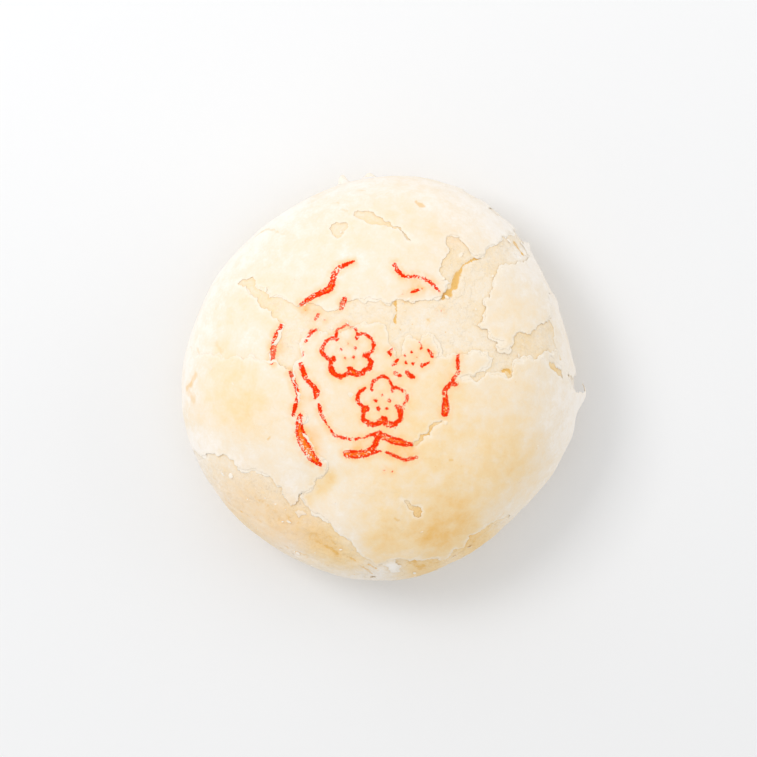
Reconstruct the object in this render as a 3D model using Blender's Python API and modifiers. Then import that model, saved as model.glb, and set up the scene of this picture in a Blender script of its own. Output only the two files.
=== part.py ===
"""Mung bean puff pastry: a domed, flaky round with a red-printed top, baked in one piece.

Metres, +Z up. The origin is the middle of the flat base that it rests on, east is +X and north is +Y,
the longer way across. Run with: blender --background --python part.py
"""

import math

import bpy

# Driving dimensions
MEAN_RADIUS = 0.0408
HEIGHT = 0.038
GIRTH_HEIGHT = 0.0145  # where the side stands out furthest
BASE_RADIUS = 0.030

# The dome above the girth is |r|^SPREAD + |z|^RISE = 1, so it is broad on top with a round shoulder.
DOME_SPREAD = 2.5
DOME_RISE = 1.9
TUCK_SPREAD = 2.2  # below the girth the side tucks in along the same kind of curve

# Rings and steps of the turned body
DOME_RINGS = 26
TUCK_RINGS = 8
STEPS = 112
MERGE_DISTANCE = 0.00001
NEAR_AXIS = 0.000001  # keeps the crown's own point from being divided by no radius

# Out-of-round waves of the outline: lobes, share of the radius, bearing of a crest in degrees
OUTLINE_WAVES = ((2, 0.024, 65.0), (3, 0.011, -48.0), (4, 0.011, -10.0), (5, 0.008, -10.0))

# Broad swellings and dents of the baked skin: east, north, reach and rise
PUFFS = (
    (-0.0250, -0.0085, 0.0110, 0.0009),
    (0.0140, -0.0220, 0.0140, 0.0008),
    (0.0040, 0.0240, 0.0130, 0.0005),
    (0.0300, 0.0090, 0.0070, 0.0004),
    (-0.0115, -0.0225, 0.0050, -0.0007),
    (0.0000, 0.0020, 0.0120, -0.0004),
)

# The outer skin is torn off along these trails. Each stop is east, north and half the trail's width.
SKIN_DEPTH = 0.0006
TEAR_SOFTNESS = 0.0024  # the torn edge slopes down over this width
BAND_TEAR = (
    (-0.0270, 0.0190, 0.0006),
    (-0.0185, 0.0115, 0.0040),
    (-0.0020, 0.0125, 0.0045),
    (0.0170, 0.0105, 0.0060),
    (0.0270, 0.0170, 0.0050),
    (0.0320, 0.0275, 0.0020),
)
SIDE_TEAR = (
    (-0.0330, -0.0180, 0.0040),
    (-0.0250, -0.0300, 0.0080),
    (-0.0120, -0.0360, 0.0065),
    (0.0000, -0.0400, 0.0010),
)
CRACK_TEAR = (
    (0.0150, 0.0180, 0.0012),
    (0.0185, 0.0225, 0.0020),
    (0.0215, 0.0255, 0.0012),
)
TEARS = (BAND_TEAR, SIDE_TEAR, CRACK_TEAR)

CRUST_COLOUR = (0.86, 0.73, 0.55, 1.0)
CRUST_ROUGHNESS = 0.75
SHARP_ANGLE = math.radians(40)


def clear_scene():
    for old in list(bpy.data.objects):
        bpy.data.objects.remove(old)


def smooth_step(share):
    share = min(1.0, max(0.0, share))
    return share * share * (3.0 - 2.0 * share)


def body_profile():
    """(radius, height) from the crown down the outer side to the middle of the base."""
    points = []
    for ring in range(DOME_RINGS):
        # This spacing keeps the rings near the crown evenly apart.
        angle = 0.5 * math.pi * (ring / DOME_RINGS) ** (DOME_SPREAD / 2.0)
        radius = MEAN_RADIUS * math.sin(angle) ** (2.0 / DOME_SPREAD)
        rise = (HEIGHT - GIRTH_HEIGHT) * math.cos(angle) ** (2.0 / DOME_RISE)
        points.append((radius, GIRTH_HEIGHT + rise))
    for ring in range(TUCK_RINGS + 1):
        angle = 0.5 * math.pi * ring / TUCK_RINGS
        out = (MEAN_RADIUS - BASE_RADIUS) * abs(math.cos(angle)) ** (2.0 / TUCK_SPREAD)
        fall = math.sin(angle) ** (2.0 / TUCK_SPREAD)
        points.append((BASE_RADIUS + out, GIRTH_HEIGHT * (1.0 - fall)))
    points.append((0.0, 0.0))
    return points


def turned_mesh(name):
    """The profile turned into a closed mesh by a Screw modifier."""
    profile = body_profile()
    line = bpy.data.meshes.new(name + "_profile")
    edges = [(i, i + 1) for i in range(len(profile) - 1)]
    line.from_pydata([(radius, 0.0, height) for radius, height in profile], edges, [])
    turned = bpy.data.objects.new(name + "_turned", line)
    bpy.context.scene.collection.objects.link(turned)

    screw = turned.modifiers.new("turn", "SCREW")
    screw.steps = screw.render_steps = STEPS
    screw.use_merge_vertices = True
    screw.merge_threshold = MERGE_DISTANCE

    graph = bpy.context.evaluated_depsgraph_get()
    mesh = bpy.data.meshes.new_from_object(turned.evaluated_get(graph))
    mesh.name = name
    bpy.data.objects.remove(turned)
    bpy.data.meshes.remove(line)
    return mesh


def outline_factor(bearing):
    """The outline's radius at a bearing, as a share of the mean radius."""
    factor = 1.0
    for lobes, share, crest in OUTLINE_WAVES:
        factor += share * math.cos(lobes * (bearing - math.radians(crest)))
    return factor


def puff(east, north):
    """How far the skin stands up over a point of the dome, before any of it is torn off."""
    rise = 0.0
    for middle_east, middle_north, reach, height in PUFFS:
        span = math.hypot(east - middle_east, north - middle_north) / reach
        rise += height * math.exp(-span * span)
    return rise


def distance_into_tear(east, north, trail):
    """How far inside a torn trail a point is; negative outside."""
    deepest = -math.inf
    for (e0, n0, w0), (e1, n1, w1) in zip(trail, trail[1:]):
        run = (e1 - e0, n1 - n0)
        along = ((east - e0) * run[0] + (north - n0) * run[1]) / (run[0] ** 2 + run[1] ** 2)
        along = min(1.0, max(0.0, along))
        off = math.hypot(east - e0 - along * run[0], north - n0 - along * run[1])
        deepest = max(deepest, w0 + along * (w1 - w0) - off)
    return deepest


def torn_depth(east, north):
    """How much of the skin is missing at a point."""
    inside = max(distance_into_tear(east, north, trail) for trail in TEARS)
    return SKIN_DEPTH * smooth_step(0.5 + inside / TEAR_SOFTNESS)


def bake_shape(mesh):
    """Gives the turned mesh its uneven outline, swellings and torn skin. The base stays flat."""
    for vertex in mesh.vertices:
        east, north, height = vertex.co
        factor = outline_factor(math.atan2(north, east))
        east, north = east * factor, north * factor
        relief = smooth_step(height / GIRTH_HEIGHT) * (puff(east, north) - torn_depth(east, north))

        # The relief stands up from the top and outward from the side.
        radius = max(math.hypot(east, north), NEAR_AXIS)
        sideways = min(1.0, (radius / MEAN_RADIUS) ** 4)
        stretch = 1.0 + relief * sideways / radius
        vertex.co = (east * stretch, north * stretch, height + relief * (1.0 - sideways))


def centre_on_base(mesh):
    """Moves the mesh so that the middle of its box stands over the origin, on the ground."""
    for axis in (0, 1):
        ends = [vertex.co[axis] for vertex in mesh.vertices]
        middle = 0.5 * (min(ends) + max(ends))
        for vertex in mesh.vertices:
            vertex.co[axis] -= middle


def crust_material():
    material = bpy.data.materials.new("baked_crust")
    material.use_nodes = True
    shader = material.node_tree.nodes["Principled BSDF"]
    shader.inputs["Base Color"].default_value = CRUST_COLOUR
    shader.inputs["Roughness"].default_value = CRUST_ROUGHNESS
    shader.inputs["Metallic"].default_value = 0.0
    return material


def make_pastry(collection):
    mesh = turned_mesh("pastry")
    bake_shape(mesh)
    centre_on_base(mesh)
    mesh.shade_smooth()
    mesh.set_sharp_from_angle(angle=SHARP_ANGLE)
    mesh.materials.append(crust_material())
    pastry = bpy.data.objects.new("pastry", mesh)
    collection.objects.link(pastry)
    return pastry


def main():
    clear_scene()
    collection = bpy.data.collections.new("mung_bean_puff_pastry")
    bpy.context.scene.collection.children.link(collection)
    make_pastry(collection)


main()
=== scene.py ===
"""Mung bean puff pastry: the torn, browned leaves of its crust, the red stamp and the studio around it.

Metres, +Z up, east is +X and north is +Y. Outlines on the skin are given in millimetres as they look
from EYE_HEIGHT above the floor, at the girth's scale. A point that lies further out than the girth is
on the side below it, as far down as it is out.
"""

import math

import bpy
import numpy as np
from bpy.props import FloatProperty, FloatVectorProperty, IntProperty, PointerProperty
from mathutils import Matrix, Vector, noise
from mathutils.geometry import delaunay_2d_cdt
from mathutils.kdtree import KDTree


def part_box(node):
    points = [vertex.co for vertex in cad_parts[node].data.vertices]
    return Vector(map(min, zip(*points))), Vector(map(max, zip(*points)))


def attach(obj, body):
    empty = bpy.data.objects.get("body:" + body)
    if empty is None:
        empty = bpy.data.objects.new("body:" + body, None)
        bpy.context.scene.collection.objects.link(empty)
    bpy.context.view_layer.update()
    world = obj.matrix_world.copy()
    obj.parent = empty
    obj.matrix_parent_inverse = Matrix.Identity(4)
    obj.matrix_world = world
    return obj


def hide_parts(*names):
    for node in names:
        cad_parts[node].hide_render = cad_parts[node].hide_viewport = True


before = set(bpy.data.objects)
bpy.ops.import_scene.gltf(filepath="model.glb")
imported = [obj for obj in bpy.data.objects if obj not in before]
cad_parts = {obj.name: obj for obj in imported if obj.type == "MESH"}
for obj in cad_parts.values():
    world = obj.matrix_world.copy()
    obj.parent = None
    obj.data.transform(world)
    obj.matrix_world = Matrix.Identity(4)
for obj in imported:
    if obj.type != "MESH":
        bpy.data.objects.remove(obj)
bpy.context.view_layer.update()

bl_info = {
    "name": "Mung bean puff pastry",
    "version": (1, 0, 0),
    "blender": (4, 5, 0),
    "location": "3D View > Sidebar > Pastry",
    "description": "Makes a flaky puff pastry with torn leaves and stamped blossoms",
    "category": "Add Mesh",
}

PASTRY_BOX = np.array(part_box("pastry"))

# Seeds of the random draws. Each leaf and ply adds its own number.
CRUST_SEED = 1
BLOSSOM_SEED = 5
OUTLINE_SEED = 100
LEAF_SEED = 200
PLY_SEED = 300
FLAKE_SEED = 400

MM = 0.001
TINY = 1e-9  # keeps a length of nothing from dividing
EYE_HEIGHT = 1.2

# The turned body, as the solid has it
MEAN_RADIUS = 0.0408
HEIGHT = 0.038
GIRTH_HEIGHT = 0.0145
BASE_RADIUS = 0.030
DOME_SPREAD = 2.5
DOME_RISE = 1.9
TUCK_SPREAD = 2.2
PROFILE_STEPS = 400

# Out-of-round waves of the outline: lobes, share of the radius, bearing of a crest in degrees
OUTLINE_WAVES = ((2, 0.024, 65.0), (3, 0.011, -48.0), (4, 0.011, -10.0), (5, 0.008, -10.0))

# Broad swellings and dents of the baked skin: east, north, reach and rise, in metres
PUFFS = (
    (-0.0250, -0.0085, 0.0110, 0.0009),
    (0.0140, -0.0220, 0.0140, 0.0008),
    (0.0040, 0.0240, 0.0130, 0.0005),
    (0.0300, 0.0090, 0.0070, 0.0004),
    (-0.0115, -0.0225, 0.0050, -0.0007),
    (0.0000, 0.0020, 0.0120, -0.0004),
)


# ---------------- the smooth skin


def smooth_step(share):
    share = np.clip(share, 0.0, 1.0)
    return share * share * (3.0 - 2.0 * share)


def outline_factor(bearing):
    """The outline's radius at a bearing, as a share of the mean radius."""
    factor = 1.0
    for lobes, share, crest in OUTLINE_WAVES:
        factor = factor + share * np.cos(lobes * (bearing - math.radians(crest)))
    return factor


def side_profile():
    """Arc length, radius and height down the outer side, from the crown to the base's edge."""
    lean = np.linspace(0.0, 1.0, PROFILE_STEPS)
    turn = 0.5 * math.pi * lean ** (DOME_SPREAD / 2.0)
    radius = MEAN_RADIUS * np.sin(turn) ** (2.0 / DOME_SPREAD)
    height = GIRTH_HEIGHT + (HEIGHT - GIRTH_HEIGHT) * np.cos(turn) ** (2.0 / DOME_RISE)

    turn = 0.5 * math.pi * lean[1:]
    tuck = BASE_RADIUS + (MEAN_RADIUS - BASE_RADIUS) * np.cos(turn) ** (2.0 / TUCK_SPREAD)
    fall = GIRTH_HEIGHT * (1.0 - np.sin(turn) ** (2.0 / TUCK_SPREAD))
    radius = np.concatenate([radius, tuck])
    height = np.concatenate([height, fall])
    steps = np.hypot(np.diff(radius), np.diff(height))
    return np.concatenate([[0.0], np.cumsum(steps)]), radius, height


ARC, RADIUS, RISE = side_profile()
GIRTH_ARC = ARC[PROFILE_STEPS - 1]
BASE_ARC = ARC[-1]
OUTWARD = -np.gradient(RISE, ARC)
UPWARD = np.gradient(RADIUS, ARC)
# How far out the dome's rings look to be: the higher, the nearer to the eye and the further out
SEEN_RADIUS = (RADIUS * (EYE_HEIGHT - GIRTH_HEIGHT) / (EYE_HEIGHT - RISE))[:PROFILE_STEPS]


def outline_middle():
    """The middle of the box round the outline, which the solid is centred on."""
    bearing = np.linspace(0.0, 2.0 * math.pi, 720)
    radius = MEAN_RADIUS * outline_factor(bearing)
    ring = np.stack([radius * np.cos(bearing), radius * np.sin(bearing)], axis=1)
    return 0.5 * (ring.min(axis=0) + ring.max(axis=0))


SHIFT = PASTRY_BOX.mean(axis=0)[:2] - outline_middle()


def flat_of(plan):
    """Unrolls places as they look from above, in metres, onto the flat skin.

    They keep their bearing, and their arc length from the crown becomes their radius.
    """
    own = np.asarray(plan) - SHIFT
    bearing = np.arctan2(own[:, 1], own[:, 0])
    out = np.hypot(own[:, 0], own[:, 1]) / outline_factor(bearing)
    on_top = np.interp(out, SEEN_RADIUS, ARC[:PROFILE_STEPS])
    arc = np.where(out < MEAN_RADIUS, on_top, GIRTH_ARC + out - MEAN_RADIUS)
    return np.stack([arc * np.cos(bearing), arc * np.sin(bearing)], axis=1)


def seen_plan(places):
    """Where places look to be from above, in millimetres at the girth's scale."""
    nearness = (EYE_HEIGHT - GIRTH_HEIGHT) / (EYE_HEIGHT - places[:, 2])
    return places[:, :2] * nearness[:, None] / MM


def skin_place(flat, rise=0.0):
    """Wraps places of the flat skin round the pastry, a rise above its smooth skin."""
    arc = np.hypot(flat[:, 0], flat[:, 1])
    bearing = np.arctan2(flat[:, 1], flat[:, 0])
    outward = np.interp(arc, ARC, OUTWARD)
    upward = np.interp(arc, ARC, UPWARD)
    radius = np.interp(arc, ARC, RADIUS) * outline_factor(bearing) + rise * outward
    height = np.interp(arc, ARC, RISE) + rise * upward
    east = radius * np.cos(bearing) + SHIFT[0]
    north = radius * np.sin(bearing) + SHIFT[1]
    return np.stack([east, north, height], axis=1)


SEED_STEP = (17.3, -9.1, 5.7)  # how far apart in the noise two neighbouring seeds are
FINER_SHARE = 1.0  # how much weaker each finer octave is
FINER_GRAIN = 2.0  # how much finer each octave is than the one before


def noise_at(places, grain, octaves, seed):
    """Smooth noise of about -1 to 1 whose largest features are a grain across."""
    offset = Vector([step * seed for step in SEED_STEP])
    spots = [Vector(place) / grain + offset for place in places.tolist()]
    return np.array([noise.fractal(spot, FINER_SHARE, FINER_GRAIN, octaves) for spot in spots])


SWELL_HEIGHT = 0.00022
WRINKLE_HEIGHT = 0.00005


def broad_relief(flat):
    """Swellings and wrinkles that every layer of the crust follows."""
    smooth = skin_place(flat)
    swell = noise_at(smooth, 0.013, octaves=2, seed=1)
    wrinkle = noise_at(smooth, 0.0035, octaves=3, seed=8)
    rise = SWELL_HEIGHT * swell + WRINKLE_HEIGHT * wrinkle
    for east, north, reach, height in PUFFS:
        span = np.hypot(smooth[:, 0] - east, smooth[:, 1] - north) / reach
        rise += height * np.exp(-span * span)
    above_base = smooth_step(smooth[:, 2] / GIRTH_HEIGHT)
    return rise * above_base


# ---------------- outlines of the torn leaves


SIDE_STOP_ANGLE = 8.0  # degrees between the stops of an outline's stretch along the side


def side(start, end, depth):
    """Stops on the side below the girth, some millimetres down, from one bearing to another."""
    count = max(2, round(abs(end - start) / SIDE_STOP_ANGLE) + 1)
    bearing = np.radians(np.linspace(start, end, count))
    radius = MEAN_RADIUS * outline_factor(bearing) + depth * MM
    east = (radius * np.cos(bearing) + SHIFT[0]) / MM
    north = (radius * np.sin(bearing) + SHIFT[1]) / MM
    return tuple(zip(east, north))


UPPER_LEAF = (
    # along the left leaf, and up to the start of the exposed band
    (-36.0, 0.6), (-32.5, 1.0), (-28.8, 2.0), (-27.5, 2.0), (-24.2, 2.2), (-22.5, 3.0),
    (-22.3, 5.5), (-21.3, 8.0), (-19.7, 11.1), (-20.5, 11.7), (-21.5, 12.5), (-22.1, 14.0),
    (-24.2, 14.6), (-25.0, 16.7), (-26.9, 17.7), (-27.3, 19.1), (-29.2, 19.6),
    # back along the band's upper edge
    (-27.3, 20.4), (-25.9, 21.0), (-25.4, 19.3), (-23.0, 18.3), (-22.6, 16.7), (-19.7, 16.9),
    (-18.4, 15.8), (-16.6, 15.0), (-14.7, 15.6), (-12.6, 15.2), (-11.0, 14.0), (-8.5, 14.2),
    (-7.9, 16.2), (-5.6, 16.2), (-3.9, 16.4), (-1.9, 16.9), (0.2, 16.4), (1.4, 15.6), (3.3, 16.0),
    (5.4, 16.0), (8.5, 16.2), (11.0, 16.2), (12.6, 16.9), (13.6, 17.9),
    # up the ochre crack, round the pocket beside it and out to the rim
    (15.0, 19.6), (13.3, 20.8), (12.5, 22.0), (13.0, 23.0), (13.2, 24.5), (14.5, 25.8), (14.6, 27.0),
    (13.9, 28.5), (14.2, 29.4), (15.3, 29.7), (16.8, 29.3), (17.8, 27.8), (18.8, 26.6), (20.3, 25.5),
    (21.7, 25.6), (22.3, 27.0), (23.4, 27.6), (25.0, 28.2), (25.4, 29.5), (26.7, 29.7), (27.8, 30.0),
    (27.6, 31.3), (26.6, 32.3), (25.5, 33.2), (24.0, 34.0), (22.8, 34.9), (23.2, 35.5), (21.4, 36.6),
    (18.6, 38.0), (17.0, 39.5), (16.8, 41.0), *side(66.0, 98.0, 7.0), *side(106.0, 150.0, 9.0),
    *side(158.0, 177.0, 11.0), (-44.0, 0.6),
)
TOP_WEDGE = (
    (-5.0, 34.4), (-4.2, 34.8), (-2.0, 34.6), (-0.9, 34.1), (0.2, 33.3), (2.5, 32.1), (4.6, 31.1),
    (5.1, 30.2), (6.0, 28.9), (7.8, 28.0), (6.0, 28.4), (5.6, 29.0), (4.8, 30.3), (4.0, 31.0),
    (2.0, 31.2), (0.0, 31.6), (-2.6, 32.2), (-4.2, 33.0), (-5.1, 33.9),
)
TOP_PATCH = (
    (-10.2, 31.0), (-9.6, 30.0), (-8.5, 28.9), (-7.6, 29.5), (-7.2, 30.4), (-6.2, 31.2), (-6.9, 32.2),
    (-8.6, 32.4), (-9.8, 31.8),
)
LEFT_LEAF = (
    (-38.5, 6.0), (-36.0, 5.2), (-34.0, 4.8), (-32.5, 4.0), (-30.6, 4.4), (-28.8, 4.6), (-27.5, 3.8),
    (-24.2, 3.5), (-22.1, 3.0), (-19.4, 2.4),
    (-18.0, 1.8), (-17.0, -1.3), (-16.6, -3.4), (-17.2, -6.1), (-17.6, -8.0), (-16.3, -7.3),
    (-14.9, -7.1), (-15.7, -9.6), (-14.7, -12.7), (-13.0, -15.2), (-10.8, -17.7), (-12.2, -20.6),
    (-13.7, -22.9), (-15.7, -23.5), (-16.6, -25.3), (-18.2, -26.4), (-19.4, -24.1), (-21.5, -21.4),
    (-23.6, -19.6), (-25.7, -18.5), (-27.3, -18.9), (-28.8, -18.5), (-29.8, -16.7), (-31.2, -15.8),
    (-32.9, -16.0), (-34.1, -15.4), (-35.8, -16.0), (-37.7, -15.2), (-40.0, -16.6), (-42.5, -16.0),
    *side(-162.0, -188.0, 8.0),
)
SOUTH_LEAF = (
    # up under the left leaf's edge
    (-15.3, -26.4), (-15.1, -23.5), (-14.8, -20.5), (-14.4, -16.5), (-16.4, -12.5), (-17.0, -9.5),
    (-17.8, -6.0), (-17.4, -1.5), (-17.4, 1.2),
    # along the band's lower edge
    (-16.3, 3.4), (-15.9, 5.9), (-15.3, 8.0), (-13.7, 10.0), (-12.6, 10.4), (-11.8, 9.2), (-10.1, 9.0),
    (-7.0, 10.0), (-3.9, 10.9), (-0.8, 11.7), (1.4, 11.1), (2.1, 9.4), (2.1, 7.6), (3.5, 5.9),
    (4.3, 4.0), (5.0, 5.9), (5.0, 7.3), (6.0, 8.4), (7.7, 8.2), (8.7, 7.8), (9.5, 8.6), (11.4, 8.8),
    (11.8, 7.3), (12.6, 5.5), (11.8, 4.2), (13.9, 4.4), (15.7, 4.9), (17.6, 5.1), (19.0, 4.9),
    (19.7, 5.9), (20.9, 5.7), (21.3, 4.7), (22.3, 4.9), (23.4, 4.1), (22.5, 2.4), (20.9, 1.3),
    (19.9, 0.6), (18.4, 0.7), (16.8, 0.1), (17.4, -0.3), (18.8, -0.1), (20.5, -0.7), (21.7, 0.3),
    (23.0, 0.9), (24.4, 0.7), (26.1, 0.3), (27.5, 0.3), (27.7, 1.8), (28.8, 3.4), (30.2, 4.2),
    (31.9, 3.8), (33.3, 4.9), (35.0, 5.9),
    # under the rim leaf, and out along the ear's upper edge
    (36.9, 5.6), (38.8, 3.2), (39.4, 0.2), (39.6, -2.4), (40.5, -3.0), (42.0, -2.8), (43.6, -1.4),
    (44.4, -1.6), *side(-5.0, -39.0, 4.0),
    # the lower edge, back to the flap
    (27.8, -28.4), (26.7, -28.0), (24.3, -29.1), (23.0, -29.6), (21.5, -30.7), (20.0, -31.8),
    (18.5, -32.3), (17.5, -34.8), (15.8, -35.0), (14.8, -36.5), (13.8, -37.4), (12.6, -37.6),
    (11.0, -36.9), (8.5, -37.3), (6.0, -37.1), (3.9, -37.1), (2.5, -37.3), (1.0, -38.2),
    (-0.2, -38.8), (-1.4, -37.8), (-2.7, -37.1), (-4.6, -35.9), (-5.4, -34.2), (-7.0, -32.8),
    (-8.5, -31.8), (-10.1, -29.9), (-12.2, -28.2), (-13.9, -27.6),
)
SOUTH_SPOTS = (
    (
        (4.6, -24.6), (6.0, -25.0), (6.7, -26.0), (8.0, -26.2), (9.0, -27.3), (8.8, -28.2), (7.7, -28.4),
        (7.2, -27.2), (6.2, -26.8), (5.5, -25.4),
    ),
    ((35.3, 3.5), (35.7, 4.8), (36.5, 4.0), (38.0, 2.3), (38.2, 0.0), (37.0, 1.0)),
    (
        (13.2, -8.6), (12.0, -9.0), (10.8, -9.6), (10.1, -11.3), (8.7, -11.5), (8.3, -12.7), (6.8, -14.2),
        (7.9, -13.9), (8.9, -12.9), (9.3, -11.9), (10.6, -11.7), (11.2, -10.0), (12.6, -9.3),
    ),
)
EAST_LEAF = (
    (20.7, 10.9), (21.7, 12.1), (22.1, 14.2), (21.9, 15.8), (23.0, 16.7), (23.2, 18.3), (23.8, 19.3),
    (23.8, 20.8), (24.8, 22.0), (25.7, 22.9), (26.5, 23.7), (28.1, 23.5), (29.2, 24.1), (30.8, 24.7),
    (32.5, 24.4), (33.4, 22.4), (34.5, 20.5), (35.5, 17.5), (35.3, 14.5), (35.0, 12.7),
    (33.9, 11.1), (32.3, 10.0), (31.2, 9.0), (30.2, 9.4), (28.8, 9.6), (27.9, 8.8), (27.7, 6.9),
    (26.7, 5.7), (25.0, 5.9), (24.2, 6.7), (25.9, 7.8), (24.0, 8.2), (23.2, 8.6), (23.0, 9.6),
)
RIM_LEAF = (
    (29.8, 28.9), (30.0, 28.2), (30.6, 26.8), (30.9, 25.5), (31.6, 23.8), (33.0, 20.4), (33.9, 17.4),
    (33.8, 14.6), (34.9, 12.4), (35.6, 11.5), (36.3, 9.5), (36.6, 7.0), (37.4, 5.0), (38.2, 2.4),
    (39.2, 0.8), (40.6, 0.6), *side(2.0, 42.0, 6.0), (31.8, 28.8),
)
CRACK_LEAF = (
    (16.6, 28.9), (17.4, 29.3), (19.8, 28.9), (22.0, 28.5), (21.8, 26.9), (21.4, 25.7), (20.0, 25.4),
    (18.6, 26.8), (17.6, 27.9),
)
HOOKED_CHIP = ((0.8, -38.6), (2.0, -36.9), (3.9, -36.6), (3.9, -38.2), (4.0, -39.9), (2.4, -39.7))
# Leftovers of the skin on the bared crust
LEFTOVERS = (
    ((19.4, 6.0), (21.6, 5.4), (23.8, 4.1), (23.4, 2.8), (21.4, 1.4), (19.6, 1.0), (18.2, 2.6), (18.4, 4.6)),
    ((-17.4, -27.6), (-15.8, -27.4), (-14.9, -28.4), (-16.6, -28.9)),
)
# Small flaps that stand out at the rim, and where they lift off: east, north, reach and rise, all in
# millimetres
RIM_FLAPS = (
    ((-10.0, 40.6), (-8.6, 41.6), (-7.9, 43.6), (-6.6, 42.6), (-5.0, 41.6), (-7.0, 40.4)),
    ((-3.6, 41.8), (-2.8, 43.3), (-1.2, 43.4), (-0.4, 42.2), (-2.0, 41.4)),
    ((29.4, 28.2), (30.4, 28.6), (32.4, 29.4), (32.0, 28.0), (32.0, 26.8), (30.8, 25.8)),
)
FLAP_LIFTS = ((-7.9, 43.8, 1.9, 2.4), (-2.0, 43.4, 1.6, 1.3), (32.2, 28.9, 1.8, 1.0))

# Cracks in the crust under the leaves: stops in millimetres, half width and depth in metres. The
# shallow ones are streaks.
CRACKS = (
    (((13.0, 17.0), (14.7, 17.8)), 0.00085, 0.0003),
    (((15.7, 19.2), (16.6, 21.6)), 0.00095, 0.0003),
    (((14.4, 17.7), (16.2, 20.0), (17.5, 23.5), (18.8, 24.3), (20.2, 25.0), (21.2, 25.2)), 0.0003, 0.0002),
    (((3.5, 15.9), (3.7, 13.8), (3.3, 11.9), (3.9, 10.7), (5.0, 9.8)), 0.00025, 0.0002),
    (((1.0, 15.2), (3.0, 15.6)), 0.0004, 0.0001),
    (((5.0, 15.8), (8.0, 15.9)), 0.0003, 0.0001),
    (((28.4, 28.0), (29.0, 27.2), (29.8, 25.9)), 0.0006, 0.00015),
    (((28.2, 8.9), (28.9, 6.4)), 0.0002, 0.0001),
    (((17.0, 0.2), (20.0, 0.1), (22.3, 1.3)), 0.0002, 0.0001),
    (((25.4, 1.5), (26.0, 1.6)), 0.0003, 0.0002),
    (((26.6, 1.8), (27.2, 1.4), (27.2, 0.6)), 0.0003, 0.0002),
    (((-12.4, -34.2), (-10.0, -35.5), (-8.4, -36.6)), 0.00022, 0.00016),
    (((-7.2, -36.7), (-5.0, -37.8), (-3.5, -39.0), (-2.0, -40.0), (-1.0, -40.9)), 0.00034, 0.00014),
    (((-13.6, -33.0), (-10.6, -33.6), (-9.0, -35.2)), 0.0017, 0.00011),
    (((-25.0, -25.5), (-21.0, -28.5), (-17.5, -29.5)), 0.0016, 0.00009),
    (((-1.8, -38.6), (0.0, -39.8)), 0.0003, 0.00014),
    (((4.2, -37.8), (6.0, -38.1)), 0.0006, 0.0001),
    (((6.8, -38.1), (8.2, -38.6), (9.2, -39.4)), 0.0012, 0.00014),
    (((9.5, -38.0), (12.0, -38.3), (14.6, -37.7)), 0.0004, 0.0001),
    (((14.6, -37.6), (18.4, -34.6), (24.4, -29.8)), 0.0006, 0.0001),
    (((-35.6, -18.2), (-34.5, -20.0), (-33.0, -22.0), (-32.0, -22.7)), 0.0003, 0.0001),
    (((-12.0, -32.5), (-9.6, -35.6), (-8.0, -37.5)), 0.0004, 0.0001),
    (((-31.0, -26.0), (-27.0, -28.5), (-24.0, -30.0)), 0.0005, 0.0001),
    (((-18.2, -27.6), (-17.6, -28.6)), 0.0003, 0.0001),
    (((-14.3, -30.2), (-13.6, -31.0)), 0.0004, 0.0001),
    (((5.0, 12.5), (6.8, 12.0)), 0.0004, 0.0001),
    (((9.2, 12.4), (10.6, 12.1)), 0.0004, 0.0001),
    (((-19.5, -34.8), (-15.0, -37.0), (-10.5, -39.0)), 0.0006, 0.0001),
)
# Tan marks on the leaves, where only a film of skin is missing. They are coloured but not sunk, so
# their depth only says how strong they are.
MARKS = (
    (((-25.2, 29.6), (-23.2, 30.8), (-21.6, 30.7), (-19.9, 29.8)), 0.0004, 0.0001),
    (((-37.7, 0.8), (-38.6, -1.0), (-39.6, -2.2)), 0.0008, 0.00014),
    (((-39.4, -2.6), (-38.0, -4.2)), 0.0012, 0.0001),
    (((-7.9, 35.0), (-6.4, 34.8)), 0.0004, 0.0001),
    (((-4.7, 38.9), (-2.7, 38.9)), 0.0004, 0.0001),
    (((7.8, 36.3), (9.0, 35.6)), 0.0005, 0.0002),
    (((14.7, -16.6), (16.7, -17.9)), 0.0002, 0.0003),
    (((3.6, -29.0), (4.1, -29.1)), 0.0004, 0.0003),
    (((-33.6, 7.5), (-32.3, 5.6)), 0.0005, 0.0001),
    (((-37.4, 6.0), (-37.1, 5.2)), 0.0004, 0.0001),
    (((-20.5, -10.5), (-22.5, -12.2)), 0.00016, 0.0003),
    (((-12.0, 36.0), (-8.0, 36.3)), 0.0002, 0.0001),
    (((-2.8, 36.1), (-2.6, 36.0)), 0.0002, 0.0002),
    (((2.6, 36.3), (2.8, 36.3)), 0.0002, 0.0002),
    (((-3.5, 33.8), (-3.3, 33.8)), 0.0002, 0.0002),
    (((24.5, -28.8), (27.5, -26.0)), 0.0002, 0.0001),
)
FULL_DEPTH = 0.0002  # cracks at least this deep are ochre all through
CRACK_WANDER = 0.0005  # how far a crack's sides stray
CALM_LENGTH = 0.0008  # stretches of a torn edge that are shorter than this bend less


def roughened(outline, rng, tooth, finest):
    """A torn edge: each stretch of a closed outline is bent at its middle until none is long.

    Long stretches bend by up to the tooth, a share of their length, and short ones by less.
    """
    points = np.asarray(outline)
    while True:
        after = np.roll(points, -1, axis=0)
        run = after - points
        length = np.hypot(run[:, 0], run[:, 1])
        long = length > finest
        if not long.any():
            return points
        across = np.stack([-run[:, 1], run[:, 0]], axis=1)
        bend = rng.uniform(-tooth, tooth, len(points)) * np.minimum(1.0, length / CALM_LENGTH)
        middle = 0.5 * (points + after) + across * bend[:, None]
        order = np.concatenate([np.arange(len(points)), np.flatnonzero(long) + 0.5])
        points = np.concatenate([points, middle[long]])[np.argsort(order, kind="stable")]


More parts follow.
